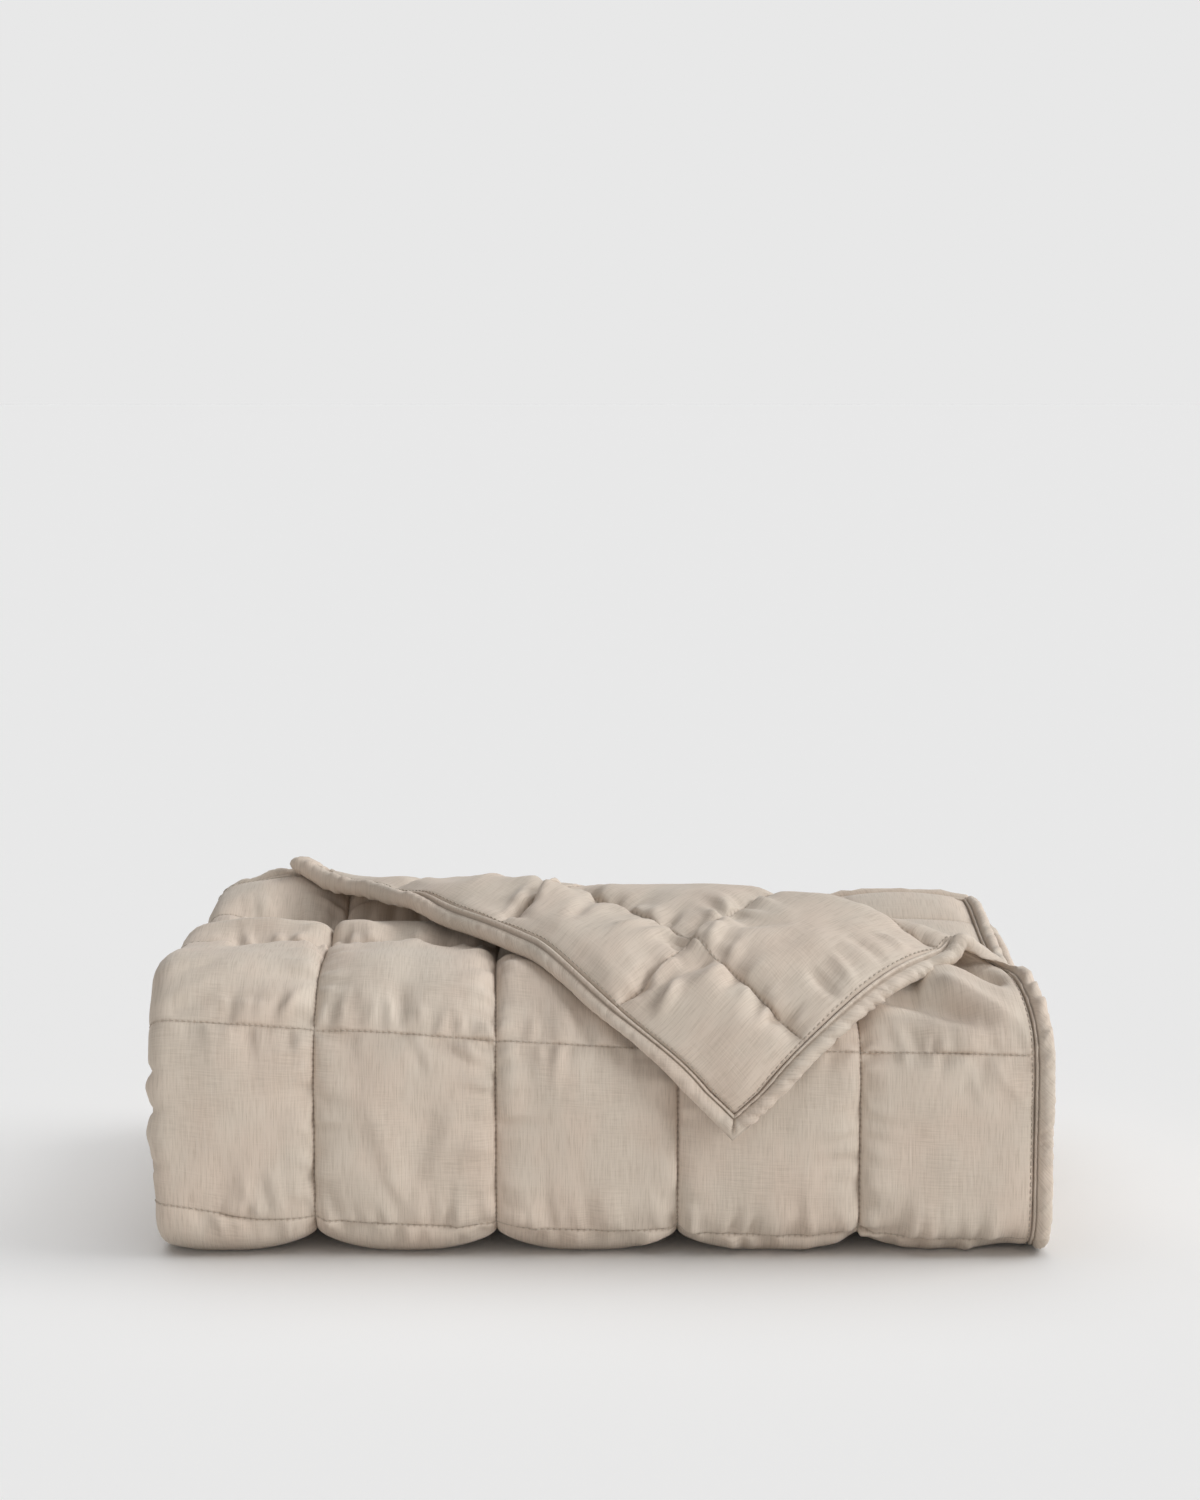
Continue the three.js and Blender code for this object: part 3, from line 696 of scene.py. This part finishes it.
def lay_flat(piece, uv_of_point, name="flat_cloth"):
    """Gives the piece a UV map of its places on the flat cloth, in metres."""
    corners = np.empty(len(piece.data.loops), dtype=np.int32)
    piece.data.loops.foreach_get("vertex_index", corners)
    layer = piece.data.uv_layers.new(name=name)
    layer.data.foreach_set("uv", uv_of_point[corners].ravel())


divide(cloth, near_sight)
divide(cloth, in_sight)
panel_mesh = bpy.data.meshes.new("quilted_cloth")
cloth.to_mesh(panel_mesh)
cloth.free()
places = np.empty(3 * len(panel_mesh.vertices))
panel_mesh.vertices.foreach_get("co", places)
places = places.reshape(-1, 3)
at_w, at_u, at_side = places.T
height = np.where(at_side > 0, surface(at_u, at_w, 1), surface(at_u, at_w, -1))
panel_mesh.vertices.foreach_set("co", folded(at_u, at_w, height).ravel())
panel = new_piece("quilted_cloth", panel_mesh)
lay_flat(panel, places[:, :2])
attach(panel, "root")
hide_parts("quilt_panel")

# Its material: natural linen, with slubbed threads both ways and cloudy tone. Painted shade darkens the gaps
# between its threads, its stitched lines and a needle hole at each stitch, and painted light brightens its
# threads.
THREAD_PITCH = 0.00085
THREAD_RUN = 0.016
SLUB_WIDE = 0.0013
SLUB_RUN = 0.045
BAND_WIDE = 0.045
BAND_RUN = 0.060
CLOUD_WIDE = 0.050
CLOUD_RUN = 0.075
BAND_LEVELS = (0.30, 0.62)
WARP_SLUB_LEVELS = (0.66, 0.74)
WEFT_SLUB_LEVELS = (0.68, 0.76)
CLOUD_LEVELS = (0.35, 0.65)
WEAVE_SHADING_LEVELS = (0.28, 0.66)
WEFT_SLUB_SHARE = 0.6
SLUB_HIGH = 0.25
SLUB_PALE = 0.10
ROUGHNESS_DROP = -0.12
ROUGHEST = 0.99
WEAVE_BUMP = {"Strength": 0.50, "Distance": 0.0003}
LINEN_FINISH = {
    "Specular IOR Level": 0.25,
    "Sheen Weight": 0.18,
    "Sheen Roughness": 0.45,
    "Sheen Tint": (1.0, 0.97, 0.93, 1),
}
WARM = (0.606, 0.499, 0.408, 1)
COOL = (0.586, 0.501, 0.414, 1)
SLUB_TONE = (0.74, 0.66, 0.57, 1)
# Painted shade in the gaps between the threads, and painted light on the thread tops.
GAP_SHADE_TONE = (0.86, 0.84, 0.82, 1)
THREAD_LIGHT_TONE = (1.05, 1.05, 1.05, 1)
# The dark colour of all painted shade: along the stitched lines, in the needle holes and in the binding's
# grooves.
PAINTED_SHADE_TONE = (0.34, 0.26, 0.20, 1)
STITCH_PITCH = 0.0041
# Size and strength of the painted shade in each needle hole.
HOLE_RADII = (0.0014, 0.0005)
HOLE_SHADE = 0.55
# Width and strength of the painted shade along the stitched lines.
DITCH_WIDTHS = (0.0022, 0.0004)
DITCH_SHADE = 0.12


def add_node(tree, kind, feeds, **settings):
    node = tree.nodes.new(kind)
    for key, value in settings.items():
        setattr(node, key, value)
    for key, value in feeds.items():
        if isinstance(value, bpy.types.NodeSocket):
            tree.links.new(value, node.inputs[key])
        else:
            node.inputs[key].default_value = value
    return node


def set_sockets(node, values):
    for key, value in values.items():
        node.inputs[key].default_value = value


def maths(tree, operation, *values):
    return add_node(tree, "ShaderNodeMath", dict(enumerate(values)), operation=operation).outputs[0]


def blended(tree, share, first, second, way="MIX"):
    feeds = {0: share, 6: first, 7: second}
    return add_node(tree, "ShaderNodeMix", feeds, data_type="RGBA", blend_type=way).outputs[2]


def ramped(tree, value, low, high):
    feeds = {"Value": value, "From Min": low, "From Max": high}
    return add_node(tree, "ShaderNodeMapRange", feeds, interpolation_type="SMOOTHSTEP").outputs[0]


def streaks(tree, place, wide_x, wide_y, detail):
    scaled = add_node(tree, "ShaderNodeMapping", {"Vector": place, "Scale": (1 / wide_x, 1 / wide_y, 1)})
    feeds = {"Vector": scaled.outputs[0], "Scale": 1, "Detail": detail, "Roughness": 0.55}
    return add_node(tree, "ShaderNodeTexNoise", feeds).outputs[0]


def linen(name, turn):
    """The woven linen, up to its colour, which each piece finishes. turn is for a cut on the bias."""
    material = bpy.data.materials.new(name)
    material.use_nodes = True
    tree = material.node_tree
    flat = add_node(tree, "ShaderNodeUVMap", {}, uv_map="flat_cloth").outputs[0]
    place = add_node(tree, "ShaderNodeMapping", {"Vector": flat, "Rotation": (0, 0, turn)}).outputs[0]
    warp = streaks(tree, place, THREAD_PITCH, THREAD_RUN, 2)
    weft = streaks(tree, place, THREAD_RUN, THREAD_PITCH, 2)
    warp_share = ramped(tree, streaks(tree, place, BAND_WIDE, BAND_RUN, 1), *BAND_LEVELS)
    warp_slub = ramped(tree, streaks(tree, place, SLUB_WIDE, SLUB_RUN, 0), *WARP_SLUB_LEVELS)
    weft_slub = ramped(tree, streaks(tree, place, SLUB_RUN, SLUB_WIDE, 0), *WEFT_SLUB_LEVELS)
    slub = maths(tree, "ADD", warp_slub, maths(tree, "MULTIPLY", weft_slub, WEFT_SLUB_SHARE))
    warp_part = maths(tree, "MULTIPLY", warp, maths(tree, "MULTIPLY_ADD", warp_share, 0.5, 0.5))
    weft_part = maths(tree, "MULTIPLY", weft, maths(tree, "MULTIPLY_ADD", warp_share, -0.35, 0.5))
    weave = maths(tree, "ADD", warp_part, weft_part)
    height = maths(tree, "MULTIPLY_ADD", slub, SLUB_HIGH, weave)
    cloud = ramped(tree, streaks(tree, place, CLOUD_WIDE, CLOUD_RUN, 3), *CLOUD_LEVELS)
    # Painted shade and light of the weave: darker where the threads lie low, lighter where they rise.
    weave_shading = blended(tree, ramped(tree, weave, *WEAVE_SHADING_LEVELS), GAP_SHADE_TONE, THREAD_LIGHT_TONE)
    colour = blended(tree, 1, blended(tree, cloud, WARM, COOL), weave_shading, "MULTIPLY")
    colour = blended(tree, maths(tree, "MULTIPLY", slub, SLUB_PALE), colour, SLUB_TONE)
    shader = tree.nodes["Principled BSDF"]
    bump = add_node(tree, "ShaderNodeBump", {**WEAVE_BUMP, "Height": height})
    tree.links.new(bump.outputs[0], shader.inputs["Normal"])
    roughness = maths(tree, "MULTIPLY_ADD", weave, ROUGHNESS_DROP, ROUGHEST)
    tree.links.new(roughness, shader.inputs["Roughness"])
    set_sockets(shader, LINEN_FINISH)
    return material, tree, shader, colour, flat


def from_line(tree, distance, first, pitch):
    """Distance to the nearest of a set of evenly spaced lines."""
    centred = maths(tree, "SUBTRACT", distance, first)
    return maths(tree, "ABSOLUTE", maths(tree, "WRAP", centred, pitch / 2, -pitch / 2))


def from_hole(tree, from_seam, from_stitch):
    """Distance to the nearest needle hole of a seam."""
    along = maths(tree, "MULTIPLY", from_stitch, from_stitch)
    return maths(tree, "SQRT", maths(tree, "MULTIPLY_ADD", from_seam, from_seam, along))


quilt_linen, tree, shader, colour, flat = linen("quilt_linen", 0)
split = add_node(tree, "ShaderNodeSeparateXYZ", {"Vector": flat}).outputs
from_column = from_line(tree, split[0], FIRST_COLUMN, CELL)
from_row = from_line(tree, split[1], FIRST_ROW, CELL)
column_hole = from_hole(tree, from_column, from_line(tree, split[1], 0, STITCH_PITCH))
row_hole = from_hole(tree, from_row, from_line(tree, split[0], 0, STITCH_PITCH))
# Painted shade along the stitched lines, where the squares close over them.
ditch_shade = ramped(tree, maths(tree, "MINIMUM", from_column, from_row), *DITCH_WIDTHS)
# Painted shade in the needle hole at each stitch.
needle_hole_shade = ramped(tree, maths(tree, "MINIMUM", column_hole, row_hole), *HOLE_RADII)
colour = blended(tree, maths(tree, "MULTIPLY", ditch_shade, DITCH_SHADE), colour, PAINTED_SHADE_TONE)
colour = blended(tree, maths(tree, "MULTIPLY", needle_hole_shade, HOLE_SHADE), colour, PAINTED_SHADE_TONE)
tree.links.new(colour, shader.inputs["Base Color"])
panel.data.materials.append(quilt_linen)


# The binding: a soft padded strip of the same linen, cut on the bias, folded over all four raw edges.
# It is sewn on with a narrow folded lip beside the seam and mitred at the corners.
SEW_GAP = 0.0003
BINDING_STEP = 0.0018
BINDING_HIDDEN_STEP = 0.009
CORNER_PARTS = 6
WELT_WIDE = 0.0024
SECTION = [
    {"reach": 0.0000, "lift": 0.0010},
    {"reach": 0.0005, "lift": 0.0026},
    {"reach": 0.0012, "lift": 0.0036},
    {"reach": 0.0019, "lift": 0.0030},
    {"reach": 0.0024, "lift": 0.0013},
    {"reach": 0.0031, "lift": 0.0033},
    {"reach": 0.0048, "lift": 0.0056},
    {"reach": 0.0072, "lift": 0.0063},
    {"reach": 0.0096, "lift": 0.0060},
    {"reach": 0.0116, "lift": 0.0043},
    {"reach": 0.0127, "lift": 0.0022},
    {"reach": 0.0131, "lift": 0.0000},
]

# Its diagonal folds, strongest along the side edge that shows, its mitres, and how its size varies.
BINDING_SEED = 71
BIAS_PITCH = 0.0075
BIAS_HIGH = 0.0044
BIAS_OUT = BIAS_HIGH / 8
BIAS_CALM = 0.45
BIAS_SLANT = 0.6
BIAS_SHARP = 0.7
BIAS_LOWERED = 0.5
BIAS_FINE = 0.3
BIAS_FROM_SEAM = 0.006
MOSTLY_RIGHT = -0.5
MITRE_DEPTH = 0.75
MITRE_WIDE = 0.22
MITRE_FROM_SEAM = 0.004
LIFT_VARIES = 0.10
LIFT_PITCH = 0.030
WIDTH_VARIES = 0.05
WIDTH_PITCH = 0.028


def edge_steps(length, fine_until):
    def step_at(place):
        return BINDING_STEP if place < fine_until else BINDING_HIDDEN_STEP
    return np.array(stepped([0, fine_until, length], step_at))


def corner_fan(u, w, first, second):
    """Outward directions that turn round a corner, each with how far it is from the mitre."""
    fan = []
    for k in range(1, 2 * CORNER_PARTS):
        share = k / CORNER_PARTS
        to_first, to_second = min(1, 2 - share), min(1, share)
        out_u = first[0] * to_first + second[0] * to_second
        out_w = first[1] * to_first + second[1] * to_second
        fan.append((u, w, out_u, out_w, abs(1 - share)))
    return fan


def edge_round():
    """Places round the panel's edge, each with its direction outwards and how far it is from a mitre."""
    far, left = CLOTH_LENGTH, CLOTH_WIDTH
    along = edge_steps(CLOTH_LENGTH, BOTTOM_END)
    wide = edge_steps(CLOTH_WIDTH, FOLD_END)
    loop = [(u, 0, 0, -1, 1) for u in along] + corner_fan(far, 0, (0, -1), (1, 0))
    loop += [(far, w, 1, 0, 1) for w in wide] + corner_fan(far, left, (1, 0), (0, 1))
    loop += [(u, left, 0, 1, 1) for u in along[::-1]] + corner_fan(0, left, (0, 1), (-1, 0))
    loop += [(0, w, -1, 0, 1) for w in wide[::-1]] + corner_fan(0, 0, (-1, 0), (0, -1))
    return loop


edge = edge_round()
edge_u, edge_w, edge_out_u, edge_out_w, edge_mitre = (np.array(one)[:, None] for one in zip(*edge))
run_steps = np.hypot(np.diff(edge_u[:, 0], prepend=0), np.diff(edge_w[:, 0], prepend=0))
edge_run = np.cumsum(run_steps)[:, None]
over_edge = [(one["reach"], one["lift"]) for one in SECTION]
under_edge = [(one["reach"], -one["lift"]) for one in SECTION[-2::-1]]
reach, lift = (np.array(one)[None, :] for one in zip(*(over_edge + under_edge)))
slant = BIAS_SLANT * np.sign(lift) * reach
bias = np.abs(uneven(edge_run + slant, BIAS_PITCH, BINDING_SEED)) ** BIAS_SHARP - BIAS_LOWERED
bias = bias + BIAS_FINE * uneven(edge_run + 2 * slant, BIAS_PITCH / 2, BINDING_SEED + 1)
bias = bias * np.where(edge_out_w < MOSTLY_RIGHT, 1, BIAS_CALM)
fold_share = np.clip(reach / BIAS_FROM_SEAM, 0, 1)
full_share = 1 + LIFT_VARIES * uneven(edge_run, LIFT_PITCH, BINDING_SEED + 2)
wide_share = 1 + WIDTH_VARIES * uneven(edge_run, WIDTH_PITCH, BINDING_SEED + 3)
mitre_share = np.exp(-((edge_mitre / MITRE_WIDE) ** 2))
groove = 1 - MITRE_DEPTH * mitre_share * rising(0, MITRE_FROM_SEAM, reach)
binding_lift = (lift * full_share + np.sign(lift) * BIAS_HIGH * bias * fold_share) * groove
binding_reach = (SEW_GAP + reach) * wide_share + BIAS_OUT * bias * fold_share
binding_points = folded(
    edge_u + edge_out_u * binding_reach, edge_w + edge_out_w * binding_reach, binding_lift
)
sides = reach.shape[1]
binding_faces = []
for i in range(len(edge)):
    here, following = i * sides, ((i + 1) % len(edge)) * sides
    for j in range(sides):
        k = (j + 1) % sides
        binding_faces.append((here + j, following + j, following + k, here + k))
binding_mesh = bpy.data.meshes.new("binding_strip")
binding_mesh.from_pydata(binding_points.reshape(-1, 3).tolist(), [], binding_faces)
binding = new_piece("binding_strip", binding_mesh)
strip_places = np.stack([reach + 0 * edge_run, edge_run + 0 * reach], axis=-1).reshape(-1, 2)
lay_flat(binding, strip_places)
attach(binding, "root")
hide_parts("binding")

# Its material: the same linen turned to the bias, with painted shade in the grooves on both sides of the
# lip.
INNER_GROOVE = (0.0008, 0.0002)
OUTER_GROOVE = (0.0010, 0.0002)
GROOVE_SHADE = 0.55
bias_linen, tree, shader, colour, flat = linen("bias_linen", math.radians(45))
from_seam = add_node(tree, "ShaderNodeSeparateXYZ", {"Vector": flat}).outputs[0]
from_lip = maths(tree, "ABSOLUTE", maths(tree, "SUBTRACT", from_seam, WELT_WIDE))
inner_groove = ramped(tree, maths(tree, "ABSOLUTE", from_seam), *INNER_GROOVE)
outer_groove = ramped(tree, from_lip, *OUTER_GROOVE)
# Painted shade in the two grooves beside the lip.
groove_shade_share = maths(tree, "MULTIPLY", maths(tree, "MAXIMUM", inner_groove, outer_groove), GROOVE_SHADE)
tree.links.new(blended(tree, groove_shade_share, colour, PAINTED_SHADE_TONE), shader.inputs["Base Color"])
binding.data.materials.append(bias_linen)


# The quilting thread: running stitches of cotton thread in every sewn line that shows.
# Each stitch is a short plump bead that rises out of the cloth and dips into a needle hole at both ends.
STITCH_LONG = 0.0028
STITCH_RADIUS = 0.00042
STITCH_SIDES = 6
STITCH_SEED = 91
STITCH_VARIES = 0.18
STITCH_VARY_PITCH = 0.003
SEAM_START = 0.003
PAST_HEEL = 0.02
EDGE_SEAM = 0.0016
SEWN_ROWS = ROWS[:4]
SEWN_COLUMNS = COLUMNS[:5]
BEAD = [
    {"along": -0.50, "round": 0.35, "rise": -0.5},
    {"along": -0.36, "round": 0.90, "rise": 0.4},
    {"along": 0.00, "round": 1.00, "rise": 0.9},
    {"along": 0.36, "round": 0.90, "rise": 0.4},
    {"along": 0.50, "round": 0.35, "rise": -0.5},
]


def running(line, end, lengthwise):
    """Middles of the stitches in one sewn line, as places u, w and the way they run."""
    first, last = math.ceil(SEAM_START / STITCH_PITCH), math.floor(end / STITCH_PITCH)
    middles = (np.arange(first, last) + 0.5) * STITCH_PITCH
    held = np.full_like(middles, line)
    if lengthwise:
        return np.stack([middles, held, np.ones_like(middles)], axis=-1)
    return np.stack([held, middles, np.zeros_like(middles)], axis=-1)


sewn = [running(line, FOLD_END, False) for line in SEWN_ROWS]
sewn += [running(line, HEEL_END + PAST_HEEL, True) for line in SEWN_COLUMNS]
sewn += [running(EDGE_SEAM, FOLD_END, False), running(EDGE_SEAM, HEEL_END, True)]
sewn_u, sewn_w, lengthwise = np.concatenate(sewn).T
outward = np.where(past_crease(sewn_u, sewn_w) > -math.pi * ROLL_RADIUS / 2, -1, 1)
loosely = 1 + STITCH_VARIES * uneven(sewn_u + sewn_w, STITCH_VARY_PITCH, STITCH_SEED)
bead_points = []
bead_run = []
for one in BEAD:
    moved = one["along"] * STITCH_LONG * loosely
    bead_u = sewn_u + moved * lengthwise
    bead_w = sewn_w + moved * (1 - lengthwise)
    height = np.where(outward > 0, surface(bead_u, bead_w, 1), surface(bead_u, bead_w, -1))
    height = height + outward * STITCH_RADIUS * one["rise"]
    for k in range(STITCH_SIDES):
        turn = 2 * math.pi * k / STITCH_SIDES
        sideways = STITCH_RADIUS * one["round"] * math.cos(turn)
        upwards = STITCH_RADIUS * one["round"] * math.sin(turn)
        side_u, side_w = bead_u + sideways * (1 - lengthwise), bead_w + sideways * lengthwise
        bead_points.append(folded(side_u, side_w, height + upwards))
        bead_run.append((k / STITCH_SIDES, one["along"]))
bead_points = np.stack(bead_points, axis=1)
stitch_count, bead_size = bead_points.shape[:2]
bead_faces = []
for ring in range(len(BEAD) - 1):
    for k in range(STITCH_SIDES):
        following = (k + 1) % STITCH_SIDES
        low, high = ring * STITCH_SIDES, (ring + 1) * STITCH_SIDES
        bead_faces.append((low + k, low + following, high + following, high + k))
bead_faces.append(tuple(range(STITCH_SIDES - 1, -1, -1)))
bead_faces.append(tuple(range(bead_size - STITCH_SIDES, bead_size)))
stitch_faces = [
    tuple(n * bead_size + corner for corner in face) for n in range(stitch_count) for face in bead_faces
]
stitch_mesh = bpy.data.meshes.new("quilting_thread")
stitch_mesh.from_pydata(bead_points.reshape(-1, 3).tolist(), [], stitch_faces)
shaped = bmesh.new()
shaped.from_mesh(stitch_mesh)
bmesh.ops.recalc_face_normals(shaped, faces=shaped.faces)
shaped.to_mesh(stitch_mesh)
shaped.free()
stitches = new_piece("quilting_thread", stitch_mesh)
lay_flat(stitches, np.tile(np.array(bead_run), (stitch_count, 1)), "thread_run")
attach(stitches, "root")

# Its material: cotton of two tones, twisted so that its plies wind along each stitch.
PLY_TURNS = 3.0
PLY_WIDE = 0.25
PLY_BUMP = {"Strength": 0.4, "Distance": 0.0002}
PLY_ROUGHNESS = 0.75
PLY_DARK = (0.34, 0.28, 0.22, 1)
PLY_PALE = (0.58, 0.50, 0.41, 1)
thread_finish = bpy.data.materials.new("cotton_thread")
thread_finish.use_nodes = True
tree = thread_finish.node_tree
thread_place = add_node(tree, "ShaderNodeUVMap", {}, uv_map="thread_run").outputs[0]
thread_split = add_node(tree, "ShaderNodeSeparateXYZ", {"Vector": thread_place}).outputs
twist = maths(tree, "MULTIPLY_ADD", thread_split[1], PLY_TURNS, thread_split[0])
ply = maths(tree, "PINGPONG", twist, PLY_WIDE)
thread_colour = blended(tree, ramped(tree, ply, 0, PLY_WIDE), PLY_DARK, PLY_PALE)
shader = tree.nodes["Principled BSDF"]
tree.links.new(thread_colour, shader.inputs["Base Color"])
ply_bump = add_node(tree, "ShaderNodeBump", {**PLY_BUMP, "Height": ply})
tree.links.new(ply_bump.outputs[0], shader.inputs["Normal"])
shader.inputs["Roughness"].default_value = PLY_ROUGHNESS
stitches.data.materials.append(thread_finish)


# The floor, the light and the camera: a plain pale studio, with the camera low in front of the quilt.
# Four soft suns of cool daylight light the quilt, the two strong ones from the right, in front and behind.
# Two more light the floor alone, so that it stays as plain and pale as the studio around it.
CAMERA_LENS = 66
CAMERA_SENSOR = 36
CAMERA_X = -0.0007
CAMERA_BACK = 1.8
CAMERA_HIGH = 0.58
CAMERA_DOWN = 7.33
FLOOR_WIDE = 400
FLOOR_FINISH = {"Base Color": (0.955, 0.955, 0.955, 1), "Roughness": 1, "Specular IOR Level": 0}
BACKDROP = 0.807
OVERHEAD = 0.16
BACKDROP_ENDS = (0.16, 0.34)
DAYLIGHT = (0.965, 1.000, 1.035)
WHITE = (1, 1, 1)
LIGHTS = [
    {"name": "side_light", "energy": 1.62, "soft": 26, "azimuth": 60, "elevation": 26, "onto": "quilt"},
    {"name": "left_light", "energy": 0.20, "soft": 50, "azimuth": -45, "elevation": 30, "onto": "quilt"},
    {"name": "back_light", "energy": 1.60, "soft": 24, "azimuth": 128, "elevation": 42, "onto": "quilt"},
    {"name": "front_light", "energy": 0.40, "soft": 60, "azimuth": 0, "elevation": 60, "onto": "quilt"},
    {"name": "overhead_light", "energy": 1.55, "soft": 80, "azimuth": 180, "elevation": 80, "onto": "floor"},
    {"name": "right_light", "energy": 0.75, "soft": 40, "azimuth": 95, "elevation": 42, "onto": "floor"},
]

bpy.ops.object.select_all(action="DESELECT")
bpy.ops.mesh.primitive_plane_add(size=FLOOR_WIDE)
floor = bpy.context.object
floor.name = "floor"
floor_finish = bpy.data.materials.new("pale_floor")
floor_finish.use_nodes = True
set_sockets(floor_finish.node_tree.nodes["Principled BSDF"], FLOOR_FINISH)
floor.data.materials.append(floor_finish)

world = bpy.data.worlds.new("studio")
world.use_nodes = True
tree = world.node_tree
toward = add_node(tree, "ShaderNodeTexCoord", {}).outputs["Generated"]
upward = add_node(tree, "ShaderNodeSeparateXYZ", {"Vector": toward}).outputs[2]
dimmed = ramped(tree, upward, *BACKDROP_ENDS)
brightness = maths(tree, "MULTIPLY_ADD", dimmed, OVERHEAD - BACKDROP, BACKDROP)
tree.links.new(brightness, tree.nodes["Background"].inputs["Strength"])
tree.nodes["Background"].inputs["Color"].default_value = (*WHITE, 1)
bpy.context.scene.world = world
bpy.context.scene.view_settings.view_transform = "Standard"

lit = {name: bpy.data.collections.new(name) for name in ("quilt", "floor")}
for piece in (panel, binding, stitches):
    lit["quilt"].objects.link(piece)
lit["floor"].objects.link(floor)
for one in LIGHTS:
    lamp = bpy.data.lights.new(one["name"], "SUN")
    lamp.energy = one["energy"]
    lamp.angle = math.radians(one["soft"])
    lamp.color = DAYLIGHT if one["onto"] == "quilt" else WHITE
    light = bpy.data.objects.new(one["name"], lamp)
    azimuth, elevation = math.radians(one["azimuth"]), math.radians(one["elevation"])
    from_there = Vector((math.sin(azimuth), -math.cos(azimuth), math.tan(elevation)))
    light.rotation_euler = from_there.to_track_quat("Z", "Y").to_euler()
    light.light_linking.receiver_collection = lit[one["onto"]]
    bpy.context.scene.collection.objects.link(light)

camera_data = bpy.data.cameras.new("camera")
camera_data.sensor_width = CAMERA_SENSOR
camera_data.lens = CAMERA_LENS
camera = bpy.data.objects.new("camera", camera_data)
camera.location = (CAMERA_X, -MIDDLE_Y - CAMERA_BACK, CAMERA_HIGH)
camera.rotation_euler = (math.radians(90 - CAMERA_DOWN), 0, 0)
bpy.context.scene.collection.objects.link(camera)
bpy.context.scene.camera = camera
